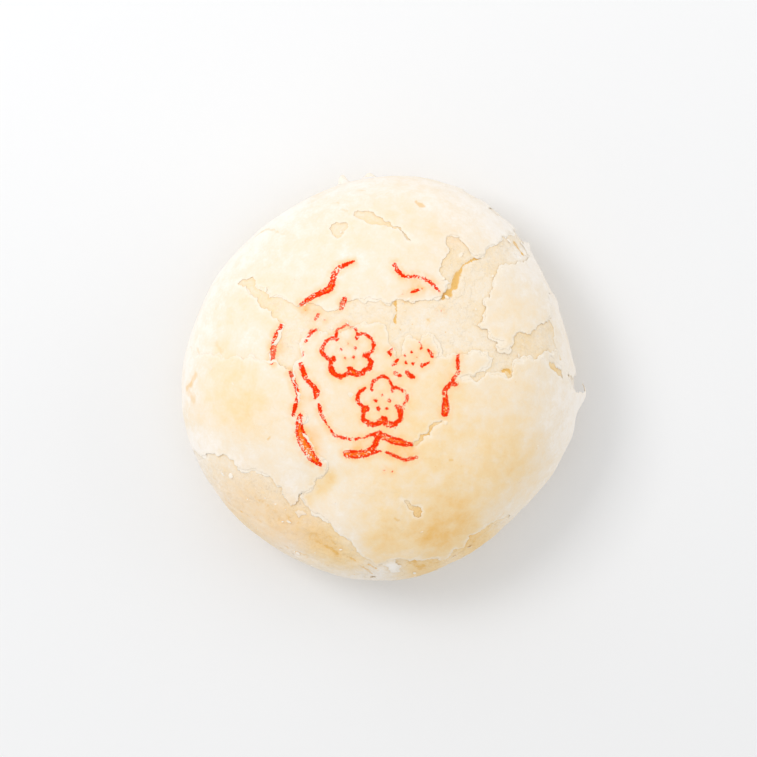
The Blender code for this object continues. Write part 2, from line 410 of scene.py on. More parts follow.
def turned_left(outline):
    """The outline, run so that its inside lies on the left."""
    after = np.roll(outline, -1, axis=0)
    area = np.sum(outline[:, 0] * after[:, 1] - after[:, 0] * outline[:, 1])
    return outline if area > 0.0 else outline[::-1]


def torn_outline(stops, rng, tooth, finest):
    flat = flat_of(np.array(stops) * MM)
    return turned_left(roughened(flat, rng, tooth, finest))


def on_floor(flat):
    """Flat places with a height of nothing."""
    return np.column_stack([flat, np.zeros(len(flat))])


OUTWARD_REACH = 3  # how many points to either side give the direction of an outline


def grown(outline, rng, least, most):
    """The outline moved outward by a distance that wanders between two limits."""
    run = np.roll(outline, -OUTWARD_REACH, axis=0) - np.roll(outline, OUTWARD_REACH, axis=0)
    length = np.maximum(np.hypot(run[:, 0], run[:, 1]), TINY)
    outward = np.stack([run[:, 1], -run[:, 0]], axis=1) / length[:, None]
    share = 0.5 + 0.9 * noise_at(on_floor(outline), 0.0035, octaves=3, seed=rng.integers(50))
    return outline + outward * (least + (most - least) * np.clip(share, 0.0, 1.0))[:, None]


def inside(places, outline):
    """Which places a left-turning closed outline winds round."""
    within = ((places > outline.min(axis=0)) & (places < outline.max(axis=0))).all(axis=1)
    east, north = places[within].T
    turns = np.zeros(len(east), int)
    for (east0, north0), (east1, north1) in zip(outline, np.roll(outline, -1, axis=0)):
        left = (east1 - east0) * (north - north0) - (east - east0) * (north1 - north0)
        turns += (north0 <= north) & (north1 > north) & (left > 0.0)
        turns -= (north0 > north) & (north1 <= north) & (left < 0.0)
    within[within] = turns > 0
    return within


def nearest_to(places, points):
    """The nearest of some points to each place: its place, number and distance."""
    tree = KDTree(len(points))
    for index, point in enumerate(on_floor(points).tolist()):
        tree.insert(point, index)
    tree.balance()
    return [tree.find(place) for place in on_floor(places).tolist()]


def distance_to(places, outlines):
    """How far each place is from the nearest point of some finely stepped outlines."""
    return np.array([gap for _, _, gap in nearest_to(places, np.concatenate(outlines))])


# ---------------- meshes


LATTICE_SHAKE = 0.18  # how far a place strays from its row, as a share of the grain
SAME_PLACE = 1e-6  # corners that are closer than this are one
MERGE_GAP = 1e-7
FEWEST_JOINED = 12  # a group of fewer joined triangles is left out as a scrap
EDGE_SPACE = 0.4  # how far from a torn edge the nearest places keep, as a share of the grain


def lattice(low, high, grain, rng):
    """Places a grain apart in staggered, slightly shaken rows."""
    rows = np.arange(low[1], high[1], grain * math.sqrt(0.75))
    columns = np.arange(low[0], high[0], grain)
    east, north = np.meshgrid(columns, rows)
    east[1::2] += 0.5 * grain
    places = np.stack([east.ravel(), north.ravel()], axis=1)
    return places + rng.uniform(-LATTICE_SHAKE, LATTICE_SHAKE, places.shape) * grain


def hem_ring(arc, count):
    """A ring of places on the flat skin, at an arc length from its middle."""
    bearing = np.linspace(0.0, 2.0 * math.pi, count, endpoint=False)
    return arc * np.stack([np.cos(bearing), np.sin(bearing)], axis=1)


def triangulate(places, rings):
    """Triangles between places and closed rings, all turning left.

    Returns corners, triangles and which of the places, or else of the rings' points, each corner is.
    """
    points = [Vector(point) for point in places.tolist()]
    edges = []
    for ring in rings:
        start, count = len(points), len(ring)
        points.extend(Vector(point) for point in ring.tolist())
        edges.extend((start + i, start + (i + 1) % count) for i in range(count))
    corners, _, triangles, sources, _, _ = delaunay_2d_cdt(points, edges, [], 0, MERGE_GAP, True)
    corners, triangles = np.array(corners), np.array(triangles)
    sources = np.array([source[0] if source else -1 for source in sources])
    a, b, c = (corners[triangles[:, i]] for i in range(3))
    turn = (b[:, 0] - a[:, 0]) * (c[:, 1] - a[:, 1]) - (c[:, 0] - a[:, 0]) * (b[:, 1] - a[:, 1])
    triangles[turn < 0.0] = triangles[turn < 0.0][:, ::-1]
    return corners, triangles, sources


def border_edges(triangles):
    """The directed edges that only one triangle has."""
    edges = np.concatenate([triangles[:, [0, 1]], triangles[:, [1, 2]], triangles[:, [2, 0]]])
    _, index, count = np.unique(np.sort(edges, axis=1), axis=0, return_index=True, return_counts=True)
    return edges[index[count == 1]]


def without_pinches(triangles):
    """Drops triangles round a corner where two stretches of the border touch."""
    while True:
        starts, count = np.unique(border_edges(triangles)[:, 0], return_counts=True)
        pinched = starts[count > 1]
        if not len(pinched):
            return triangles
        triangles = triangles[~np.isin(triangles, pinched).any(axis=1)]


def without_scraps(triangles):
    """Drops the small groups of joined triangles."""
    label = np.arange(triangles.max() + 1)
    while True:
        lowest = label[triangles].min(axis=1)
        after = label.copy()
        for column in range(3):
            np.minimum.at(after, triangles[:, column], lowest)
        after = after[after]
        if (after == label).all():
            break
        label = after
    _, group, count = np.unique(label[triangles[:, 0]], return_inverse=True, return_counts=True)
    return triangles[count[group] >= FEWEST_JOINED]


def flat_sheet(outline, holes, grains, edge_width, rng, printed, kept):
    """Triangles that fill a torn outline: corners, triangles and each corner's distance to a torn edge.

    The grains are those of the plain skin, of the print and of the torn edges. A ply has no print, so
    it gives two. Only triangles whose middle is kept stay, where a test for that is given.
    """
    low, high = outline.min(axis=0), outline.max(axis=0)
    rings = [outline, *holes]
    places = []
    for number, grain in enumerate(grains):
        spots = lattice(low, high, grain, rng)
        spots = spots[inside(spots, outline)]
        gap = distance_to(spots, rings)
        if number == len(grains) - 1:
            places.append(spots[(gap > EDGE_SPACE * grain) & (gap <= edge_width)])
        else:
            spots = spots[gap > edge_width]
            places.append(spots[printed(spots) == (number == 1)])
    corners, triangles, _ = triangulate(np.concatenate(places), rings)
    middle = corners[triangles].mean(axis=1)
    wanted = inside(middle, outline)
    for hole in holes:
        wanted &= ~inside(middle, hole)
    if kept:
        wanted &= kept(middle)
    triangles = without_scraps(without_pinches(triangles[wanted]))
    used, triangles = np.unique(triangles, return_inverse=True)
    corners = corners[used]
    return corners, triangles.reshape(-1, 3), distance_to(corners, rings)


def closed_leaf(top, bottom, triangles):
    """A thin solid between a leaf's upper and lower corners."""
    count = len(top)
    start, end = border_edges(triangles).T
    walls = np.stack([end, start, start + count, end + count], axis=1)
    faces = triangles.tolist() + (triangles[:, ::-1] + count).tolist() + walls.tolist()
    return np.concatenate([top, bottom]), faces


def fresh_mesh_object(name, corners, faces, layers, material):
    """A new smooth-shaded object at the origin, in place of any older one of its name."""
    old = bpy.data.objects.get(name)
    if old:
        bpy.data.objects.remove(old)
    mesh = bpy.data.meshes.new(name)
    mesh.from_pydata(corners.tolist(), [], faces)
    for label, values in layers.items():
        mesh.attributes.new(label, "FLOAT", "POINT").data.foreach_set("value", np.asarray(values, "f"))
    mesh.shade_smooth()
    if material:
        mesh.materials.append(material)
    piece = bpy.data.objects.new(name, mesh)
    bpy.context.scene.collection.objects.link(piece)
    return piece


# ---------------- how the leaves lie

# Each leaf's stops, the spots torn out of it, how high it lies, and where it lifts off: east, north,
# reach and rise, all in millimetres
LEAVES = {
    "upper_leaf": (
        UPPER_LEAF,
        (TOP_WEDGE, TOP_PATCH),
        0.0,
        ((28.0, 31.0, 3.0, 0.4), (19.5, 38.0, 4.0, 0.4), (12.8, 23.0, 3.0, 0.04), (6.6, 29.6, 1.6, 0.10)),
    ),
    "south_leaf": (
        SOUTH_LEAF,
        SOUTH_SPOTS,
        0.0,
        ((44.5, -3.0, 5.0, 2.8), (42.0, -12.0, 6.0, 1.3), (38.0, -20.0, 6.0, 0.7), (6.0, -37.5, 5.0, 0.3)),
    ),
    "left_leaf": (
        LEFT_LEAF,
        (),
        0.12,
        (
            (-17.8, -26.5, 4.2, 0.08), (-11.5, -19.5, 3.0, 0.05), (-39.0, -2.0, 8.0, -0.05),
            (-38.0, -15.5, 6.0, -0.15), (-27.0, -18.0, 4.5, -0.10), (-19.5, -22.0, 4.0, -0.07),
            (-14.8, -19.8, 2.8, -0.08),
        ),
    ),
    "east_leaf": (
        EAST_LEAF,
        (),
        0.06,
        ((21.5, 11.0, 3.0, 0.08), (25.5, 6.5, 2.5, 0.12), (35.3, 14.5, 3.0, 0.10)),
    ),
    "rim_leaf": (
        RIM_LEAF,
        (),
        -0.09,
        ((40.6, 1.5, 3.0, 0.5), (32.4, 27.4, 2.0, 0.3), (37.6, 16.6, 2.4, 0.5)),
    ),
    "crack_leaf": (CRACK_LEAF, (), -0.03, ((17.0, 28.8, 1.6, 0.10),)),
    "hooked_chip": (HOOKED_CHIP, (), 0.03, ()),
}
SCRAPS = {
    **{f"leftover_{number}": (stops, (), -0.05, ()) for number, stops in enumerate(LEFTOVERS, 1)},
    **{f"rim_flap_{number}": (stops, (), -0.02, FLAP_LIFTS) for number, stops in enumerate(RIM_FLAPS, 1)},
}

# Browned places of the skin, and a few spots of painted shade: east, north and reach in millimetres, and how
# brown
BROWNED_AND_SHADED_SPOTS = (
    (9.0, -8.0, 21.0, 0.20), (-29.0, -2.0, 6.5, 0.14), (-27.0, -8.0, 6.0, 0.12), (-36.0, 1.0, 8.0, 0.04),
    (26.0, -20.0, 8.0, 0.11), (28.0, -13.0, 6.0, 0.08), (22.0, -22.0, 4.0, 0.06),
    (13.5, -33.0, 7.0, 0.35), (10.5, -33.0, 3.6, 0.12), (0.0, -40.0, 5.0, 0.16), (2.6, -39.2, 1.8, -0.30),
    # The spots from (-10.2, -20.8) to (-12.8, -21.8) are the painted shadow, tinted tan, of the left leaf's
    # lifted flap. The spots at (0, -33) and (0, -31) paint shade on the south slope.
    (3.0, -21.0, 8.0, 0.05), (11.0, -19.0, 7.0, 0.05), (0.0, -33.0, 4.0, 0.05), (-10.2, -20.8, 1.5, 0.28),
    (-11.8, -23.3, 1.6, 0.28), (-14.4, -25.2, 1.2, 0.18), (-12.8, -21.8, 1.5, 0.12),
    (37.5, 9.0, 5.0, 0.04), (16.2, -26.2, 4.5, 0.15), (2.0, -33.2, 5.0, 0.16), (30.5, 15.5, 6.0, 0.05),
    (5.0, 37.0, 9.0, 0.10), (-12.0, 37.0, 6.0, 0.05), (-33.0, 6.6, 1.6, 0.12), (-38.5, -8.0, 3.0, 0.12),
    (-28.0, 29.0, 7.0, -0.02), (-27.0, 16.0, 9.0, 0.05), (-17.5, -21.0, 3.2, -0.08),
    # The spot at (0, -31) is painted shade on the south slope.
    (18.5, -30.5, 3.5, 0.10), (31.0, -18.0, 5.0, 0.07), (0.0, -31.0, 5.0, 0.05), (18.0, 32.0, 8.0, 0.04),
)
# The same for the crust under the skin; its last spot is painted shadow under the left leaf's lifted flap
INNER_BROWNED_AND_SHADED_SPOTS = (
    (-29.0, -27.0, 6.0, 0.12), (-24.0, -31.0, 5.0, 0.14), (-18.0, -30.0, 4.0, 0.10),
    (-33.0, -19.0, 4.0, 0.09), (-12.0, -34.0, 4.0, 0.36), (-8.0, -37.0, 3.0, 0.26),
    (-4.0, -38.0, 3.0, 0.20), (-2.0, -41.0, 4.0, -0.04), (9.0, -38.6, 5.0, 0.42),
    (19.5, -33.2, 6.0, 0.42), (28.5, 7.6, 2.8, 0.08), (32.5, 6.6, 4.0, 0.06), (37.0, 2.4, 2.0, 0.32),
    (36.0, 10.5, 1.8, 0.12), (26.6, 1.2, 1.2, 0.25), (21.4, 13.5, 2.4, 0.10), (25.0, 22.6, 2.2, 0.10),
    (27.0, 28.8, 2.4, 0.10), (23.2, 27.3, 1.6, 0.08), (15.0, 24.6, 3.0, 0.08), (5.0, 15.6, 3.0, 0.06),
    (-25.0, 19.0, 4.0, 0.08), (-21.5, 14.0, 3.0, 0.06), (2.0, 31.8, 5.0, 0.06), (-22.6, 30.6, 3.6, 0.04),
    (8.4, 36.0, 1.6, 0.25), (8.2, -27.4, 2.0, 0.34), (3.9, -29.0, 1.2, 0.22), (10.0, -11.2, 3.2, 0.36),
    # Painted shadow under the left leaf's lifted flap
    (-12.4, -21.4, 2.4, 0.5),
)


def torn_leaves(sizes):
    """The torn outline and holes of every leaf, on the flat skin, the same on each call."""
    shapes = {}
    for number, (name, (stops, holes, _, _)) in enumerate((LEAVES | SCRAPS).items()):
        rng = np.random.default_rng(OUTLINE_SEED + number)
        outline = torn_outline(stops, rng, sizes.tooth, sizes.edge_grain)
        shapes[name] = outline, [torn_outline(hole, rng, sizes.tooth, sizes.edge_grain) for hole in holes]
    return shapes


def spots_at(places, spots):
    """The sum of soft round spots, given by east, north, reach and strength, at some places."""
    total = np.zeros(len(places))
    plan = seen_plan(places)
    for east, north, reach, strength in spots:
        span = np.hypot(plan[:, 0] - east, plan[:, 1] - north) / reach
        total += strength * np.exp(-span * span)
    return total


MIDDLE_TOAST = 0.17  # how browned the middle of the top is
RIM_PALENESS = 0.13  # how much less browned the rim is
RIM_START = 0.031  # how far out the skin starts to turn paler
RIM_WIDTH = 0.010
FOOT_TOP = 0.45 * GIRTH_HEIGHT
FOOT_TOAST = 0.25  # how much more browned the foot is
SIDE_TOP = 1.25 * GIRTH_HEIGHT
SIDE_TOAST = 0.05
SIDE_BLOTCHES = 1.1  # how strongly the spots break up down the side


def toast_at(places, spots):
    """How browned the crust is at some places, with the painted shade that some spots hold: 0 for pale, 1 for
    brown.
    """
    above_foot = smooth_step(places[:, 2] / FOOT_TOP)
    above_side = smooth_step(places[:, 2] / SIDE_TOP)
    blotch = 1.0 + SIDE_BLOTCHES * (1.0 - above_side) * noise_at(places, 0.007, octaves=3, seed=12)
    rim = smooth_step((np.hypot(places[:, 0], places[:, 1]) - RIM_START) / RIM_WIDTH)
    toast = MIDDLE_TOAST - RIM_PALENESS * rim + spots_at(places, spots) * blotch * above_side
    return np.clip(toast + FOOT_TOAST * (1.0 - above_foot) + SIDE_TOAST * (1.0 - above_side), 0.0, 1.0)


def crack_depth(flat, cracks):
    """How deep, and how far into a crack from 0 to 1, places of the flat skin are."""
    depth = np.zeros(len(flat))
    share = np.zeros(len(flat))
    wander = CRACK_WANDER * noise_at(on_floor(flat), 0.0018, octaves=3, seed=31)
    for stops, half_width, deepest in cracks:
        line = flat_of(np.array(stops) * MM)
        nearest = np.full(len(flat), math.inf)
        for start, end in zip(line, line[1:]):
            run = end - start
            along = np.clip((flat - start) @ run / (run @ run), 0.0, 1.0)
            nearest = np.minimum(nearest, np.hypot(*(flat - start - along[:, None] * run).T))
        within = smooth_step(1.5 - (nearest + wander) / half_width)
        depth = np.maximum(depth, deepest * within)
        share = np.maximum(share, within * min(1.0, deepest / FULL_DEPTH))
    return depth, share


# ---------------- the stamp

# The strokes of the frame's two lines. Each stop is east, north and half the stroke's width, in
# millimetres. A stroke of one stop is a spot of ink.
OUTER_STROKES = (
    (
        (-5.2, 24.1, 0.3), (-6.8, 23.5, 0.4), (-8.1, 22.9, 0.55), (-9.1, 21.7, 0.65), (-9.5, 20.1, 0.6),
        (-9.9, 18.8, 0.75), (-11.2, 18.0, 0.65), (-13.0, 17.3, 0.55), (-14.5, 16.5, 0.5), (-16.1, 15.3, 0.35),
    ),
    ((-15.2, 14.1, 0.2),),
    ((-12.5, 13.3, 0.4), (-13.1, 12.3, 0.3)),
    ((-11.2, 12.2, 0.17),),
    ((-20.0, 11.0, 0.4), (-21.1, 8.9, 0.55), (-21.7, 6.6, 0.6), (-22.0, 3.4, 0.5)),
    (
        (-18.2, 1.3, 0.4), (-17.5, -0.3, 0.4), (-16.8, -2.4, 0.45), (-16.5, -3.7, 0.4),
        (-17.1, -5.5, 0.45), (-17.5, -7.5, 0.35),
    ),
    (
        (-16.1, -7.8, 0.6), (-16.4, -9.1, 0.65), (-16.2, -10.9, 0.95), (-15.6, -12.7, 1.1),
        (-14.8, -14.5, 1.1), (-13.8, -16.1, 1.0), (-12.7, -17.3, 0.7), (-12.1, -17.9, 0.45),
    ),
    (
        (-6.5, -15.6, 0.85), (-4.4, -15.7, 0.9), (-2.4, -15.4, 0.85), (-1.2, -14.4, 0.6),
        (-0.6, -13.4, 0.6), (0.0, -11.9, 0.6),
    ),
    ((-2.4, -15.4, 0.8), (-0.6, -15.1, 0.45), (0.6, -15.0, 0.2)),
    (
        (1.5, -15.2, 0.3), (2.8, -15.7, 0.4), (4.4, -16.4, 0.35), (5.6, -16.7, 0.45), (6.9, -16.4, 0.4),
        (8.0, -16.1, 0.2),
    ),
    (
        (16.4, 4.9, 0.3), (16.4, 2.8, 0.4), (16.5, 1.2, 0.4), (15.7, 0.2, 0.4), (14.7, -1.3, 0.45),
        (13.7, -2.4, 0.5), (13.8, -4.4, 0.6), (13.9, -6.0, 0.9), (13.7, -7.2, 0.75),
    ),
    ((15.0, -1.3, 0.35), (16.1, -1.1, 0.5)),
    (
        (3.2, 23.4, 0.4), (3.8, 22.4, 0.5), (4.9, 21.1, 0.35), (6.4, 20.9, 0.3), (8.0, 21.0, 0.35),
        (9.3, 20.6, 0.35), (10.6, 19.9, 0.4), (11.9, 18.7, 0.35), (12.6, 17.9, 0.2),
    ),
    ((12.9, 13.9, 0.2),),
    ((1.2, -18.9, 0.17),),
    ((2.9, -19.2, 0.17),),
)
INNER_STROKES = (
    ((-7.0, 16.4, 0.55), (-7.4, 15.4, 0.6), (-7.7, 14.5, 0.4)),
    ((-13.0, 10.1, 0.3), (-14.0, 9.6, 0.5), (-14.5, 8.7, 0.4), (-15.1, 7.7, 0.3)),
    ((-15.6, 5.4, 0.2), (-15.8, 4.6, 0.17)),
    (
        (-16.1, 3.0, 0.5), (-15.6, 1.7, 0.55), (-15.1, 0.2, 0.55), (-14.3, -0.8, 0.5), (-13.2, -1.9, 0.55),
        (-12.8, -2.9, 0.7), (-13.0, -3.9, 0.45),
    ),
    (
        (-12.3, -5.5, 0.4), (-11.9, -7.3, 0.4), (-10.6, -9.6, 0.15), (-9.1, -11.8, 0.3), (-7.3, -12.3, 0.35),
        (-6.0, -12.6, 0.3), (-4.7, -12.5, 0.32), (-2.9, -12.2, 0.17), (-1.3, -11.6, 0.35), (0.2, -11.2, 0.4),
    ),
    (
        (0.2, -11.2, 0.5), (1.0, -12.0, 0.75), (2.3, -12.5, 0.75), (3.8, -13.0, 0.85), (5.4, -13.4, 0.7),
        (6.7, -13.5, 0.45),
    ),
    ((6.7, 17.8, 0.2), (7.7, 18.1, 0.32), (8.8, 18.5, 0.2)),
    ((4.9, 17.4, 0.15),),
)
# Where the skin is stained, by the strokes and by baking: east, north, reach in millimetres and
# strength
STAINED = (
    (-13.9, -12.0, 1.8, 0.7), (-12.9, -15.0, 1.5, 0.5), (-15.0, -4.4, 1.8, 0.3), (-20.7, 6.5, 1.5, 0.6),
    (7.6, 19.4, 2.2, 0.45), (-14.6, 14.4, 1.9, 0.45), (-4.0, -13.9, 1.4, 0.6), (3.4, -14.6, 1.7, 0.8),
    (6.4, -15.0, 1.4, 0.5), (14.6, 0.6, 1.6, 0.25), (0.0, -6.0, 8.0, 0.06),
    (-28.0, -25.0, 6.0, 0.24), (-20.0, -30.0, 5.0, 0.34), (-14.0, -32.0, 4.0, 0.24), (15.5, 28.6, 1.5, 0.2),
)
INK_FADE = -1.6  # a place this many millimetres outside every stroke has none of its stain

# Three little blossoms inside the frame: east, north, radius and half a stroke's width in
# millimetres, the bearing of a petal in degrees and the share of the petals that printed
BLOSSOMS = (
    (-6.2, 5.6, 5.6, 0.46, 96.0, 1.0),
    (6.6, 4.2, 4.6, 0.38, 80.0, 0.32),
    (0.8, -5.0, 5.4, 0.50, 90.0, 0.86),
)
PETAL_SPREAD = 1.8  # the bearing in radians, to either side, that a petal's arc covers
PETAL_STOPS = 9
# Shares of a blossom's radius: how far out a petal's middle is, a petal's own radius, how far out the
# stamens' tips are, and how far a petal's arc strays
PETAL_OUT = 0.57
PETAL_RADIUS = 0.40
STAMEN_OUT = 0.28
RAGGED_ARC = 0.03
SOUTH_PRESS = 0.45  # how much bolder the strokes facing south are, and how much finer those facing north


def blossom_strokes(stamp):
    """The blossoms' strokes: rough stretches of the petals' outer arcs, and the stamens' tips."""
    rng = np.random.default_rng(BLOSSOM_SEED)
    strokes = []
    for east, north, radius, half_width, turn, printed in BLOSSOMS:
        for number in range(stamp.petals):
            facing = math.radians(turn) + number * 2.0 * math.pi / stamp.petals
            out = radius * np.array([math.cos(facing), math.sin(facing)])
            bearing = facing + np.linspace(-PETAL_SPREAD, PETAL_SPREAD, PETAL_STOPS)
            around = np.stack([np.cos(bearing), np.sin(bearing)], axis=1)
            ring = PETAL_OUT * out + PETAL_RADIUS * radius * around
            press = 1.0 - SOUTH_PRESS * ring[:, 1] / radius
            ring += (east, north) + rng.normal(0.0, RAGGED_ARC * radius, ring.shape)
            arc = np.column_stack([ring, half_width * press * rng.uniform(0.6, 1.2, len(ring))])
            starts = range(0, PETAL_STOPS - 2, 2)
            strokes += [arc[start : start + 3] for start in starts if rng.random() < printed]
            tip = (east + STAMEN_OUT * out[0], north + STAMEN_OUT * out[1])
            strokes.append([(*tip, half_width * rng.uniform(0.3, 1.0))])
    return strokes


def ink_at(places, strokes):
    """How far inside the nearest stroke's edge some places are, in millimetres; negative outside."""
    plan = seen_plan(places)
    spare = np.full(len(plan), INK_FADE)
    for stroke in strokes:
        stops = np.array([*stroke, stroke[-1]])
        for start, end in zip(stops, stops[1:]):
            run = (end - start)[:2]
            along = np.clip((plan - start[:2]) @ run / max(run @ run, TINY), 0.0, 1.0)
            off = np.hypot(*(plan - start[:2] - along[:, None] * run).T)
            spare = np.maximum(spare, start[2] + along * (end[2] - start[2]) - off)
    return spare


# ---------------- materials


MATT_SHINE = 0.06  # dry dough and the floor hardly shine


class Value:
    """A socket of a material that can be worked with like a number."""

    def __init__(self, finish, socket):
        self.finish = finish
        self.socket = socket

    def math(self, operation, *others):
        inputs = dict(enumerate((self, *others)))
        return self.finish.node("ShaderNodeMath", {"operation": operation}, inputs)

    def __add__(self, other):
        return self.math("ADD", other)

    def __sub__(self, other):
        return self.math("SUBTRACT", other)

    def __mul__(self, other):
        return self.math("MULTIPLY", other)

    def __rsub__(self, other):
        return self.finish.node("ShaderNodeMath", {"operation": "SUBTRACT"}, {0: other, 1: self})

    def __lt__(self, other):
        return self.math("LESS_THAN", other)

    __radd__ = __add__
    __rmul__ = __mul__

    def step(self, start, end):
        """0 before start and 1 after end, with a smooth rise between."""
        inputs = {0: self, 1: start, 2: end, 3: 0.0, 4: 1.0}
        return self.finish.node("ShaderNodeMapRange", {"interpolation_type": "SMOOTHSTEP"}, inputs)


class NodeMaker:
    """Makes the nodes of a tree."""

    def made(self, kind, settings=None, inputs=None):
        """A node of a type, with its settings made first and then its inputs set or linked."""
        node = self.tree.nodes.new(kind)
        for key, value in (settings or {}).items():
            if key == "stops":
                self.set_stops(node.color_ramp, value)
            else:
                setattr(node, key, value)
        for key, value in (inputs or {}).items():
            self.feed(node.inputs[key], value)
        return node

    def set_stops(self, ramp, stops):
        while len(ramp.elements) < len(stops):
            ramp.elements.new(1.0)
        for element, (position, colour) in zip(ramp.elements, stops):
            element.position = position
            element.color = (*colour, 1.0)

    def feed(self, socket, value):
        if isinstance(value, Value):
            value = value.socket
        if isinstance(value, bpy.types.NodeSocket):
            self.tree.links.new(value, socket)
        elif socket.type == "RGBA" and len(value) == 3:
            socket.default_value = (*value, 1.0)
        else:
            socket.default_value = value


class Finish(NodeMaker):
    """A material with a Principled BSDF, and the nodes that feed it."""

    def __init__(self, name):
        old = bpy.data.materials.get(name)
        if old:
            bpy.data.materials.remove(old)
        self.material = bpy.data.materials.new(name)
        self.material.use_nodes = True
        self.tree = self.material.node_tree
        self.shader = self.tree.nodes["Principled BSDF"]

    def node(self, kind, settings=None, inputs=None, output=0):
        return Value(self, self.made(kind, settings, inputs).outputs[output])

    def place(self):
        """Where the surface is, in millimetres."""
        metres = self.node("ShaderNodeTexCoord", output="Object")
        return self.node("ShaderNodeVectorMath", {"operation": "SCALE"}, {0: metres, "Scale": 1.0 / MM})

    def attribute(self, name):
        return self.node("ShaderNodeAttribute", {"attribute_name": name}, output="Fac")

    def noise(self, place, grain, detail, roughness):
        """Noise from 0 to 1 with features a grain across."""
        inputs = {"Vector": place, "Scale": 1.0 / grain, "Detail": detail, "Roughness": roughness}
        return self.node("ShaderNodeTexNoise", inputs=inputs)

    def blend(self, first, second, share):
        """The first colour giving way to the second."""
        return self.node("ShaderNodeMix", {"data_type": "RGBA"}, {0: share, 6: first, 7: second}, 2)

    def bump(self, height, depth):
        inputs = {"Height": height, "Distance": depth, "Strength": 1.0}
        self.feed(self.shader.inputs["Normal"], self.node("ShaderNodeBump", inputs=inputs))

    def surface(self, colour, roughness):
        self.feed(self.shader.inputs["Base Color"], colour)
        self.feed(self.shader.inputs["Roughness"], roughness)
        self.shader.inputs["Specular IOR Level"].default_value = MATT_SHINE


def baked_colour(finish, toast, colours):
    """From floury dough to brown crust."""
    stops = (
        (0.0, colours.flour), (0.07, colours.pale), (0.16, colours.cream), (0.42, colours.gold),
        (0.72, colours.toast), (1.0, colours.brown),
    )
    return finish.node("ShaderNodeValToRGB", {"stops": stops}, {"Fac": toast})


def pinholes(finish, place, apart, radius, share):
    """A mask of tiny holes, in a share of cells of the given width."""
    cells = finish.made("ShaderNodeTexVoronoi", inputs={"Vector": place, "Scale": 1.0 / apart}).outputs
    picked = finish.node("ShaderNodeSeparateColor", inputs={0: cells["Color"]}) < share
    distance = Value(finish, cells["Distance"]) * apart
    return picked * (1.0 - distance.step(0.5 * radius, radius))


def stamped(finish, place, colour, stamp, strength):
    """The colour with the stamp's ink on it: ragged, speckled, darkest at its edges, in a faint stain."""
    reach = finish.attribute("ink")
    patchy = finish.noise(place, grain=2.2, detail=3.0, roughness=0.6)
    specks = finish.noise(place, grain=0.36, detail=3.0, roughness=0.7)
    ragged = finish.noise(place, grain=0.45, detail=4.0, roughness=0.75)
    spare = reach + (ragged - 0.5) * 1.2
    worn = specks * 0.9 + patchy * 0.6
    ink = spare.step(-0.03, 0.06) * worn.step(0.62, 0.69) * (stamp.strength * strength)
    halo = reach.step(-1.5, 0.1) * patchy.step(0.3, 0.65) * 0.75
    stain = (finish.attribute("stain") * (patchy + 0.5) + halo) * strength
    colour = finish.blend(colour, stamp.stain, stain)
    inside = (spare * 0.7 + specks).step(0.86, 1.06)
    red = finish.blend(stamp.ink, stamp.thin_ink, inside)
    return finish.blend(colour, red, ink)


# How strongly the broad, middle and fine mottling shows in the browning
SKIN_MOTTLING = (0.34, 0.20, 0.14)
CRUST_MOTTLING = (0.44, 0.32, 0.18)


def mottled(toast, noises, strengths):
    """The browning with some noises on it, each by its own strength."""
    for noise_value, strength in zip(noises, strengths):
        toast = toast + (noise_value - 0.5) * strength
    return toast


def torn_skin_finish(name, colours, stamp=None):
    """The outer skin: cream browning to tan, with a few spots of painted shade, pale along torn edges, with
    pinholes and the stamp.
    """
    finish = Finish(name)
    place = finish.place()
    broad = finish.noise(place, grain=11.0, detail=7.0, roughness=0.6)
    mottle = finish.noise(place, grain=2.6, detail=4.0, roughness=0.6)
    fine = finish.noise(place, grain=0.5, detail=4.0, roughness=0.6)
    film = broad.step(0.540, 0.565)
    # The toast attribute holds browning and, in a few spots, painted shade.
    toast = finish.attribute("toast") * (mottle * 0.7 + 0.65)
    toast = mottled(toast, (broad, mottle, fine), SKIN_MOTTLING) - film * 0.035
    colour = baked_colour(finish, toast, colours)
    edge = finish.attribute("edge") + (mottle - 0.5) * 0.3
    colour = finish.blend(colour, colours.torn_edge, (1.0 - edge.step(0.0, 0.3)) * 0.5)
    marked = finish.attribute("crack") + (mottle - 0.5) * 0.8
    colour = finish.blend(colour, colours.ochre, marked.step(0.2, 0.9) * 0.6)
    holes = pinholes(finish, place, apart=2.3, radius=0.15, share=0.16)
    colour = finish.blend(colour, colours.ochre, holes * 0.7)
    if stamp:
        colour = stamped(finish, place, colour, stamp, strength=1.0)
    finish.surface(colour, 0.75)
    finish.bump(fine * 0.6 + mottle * 0.8 + film * 0.35, depth=0.00007)
    return finish.material


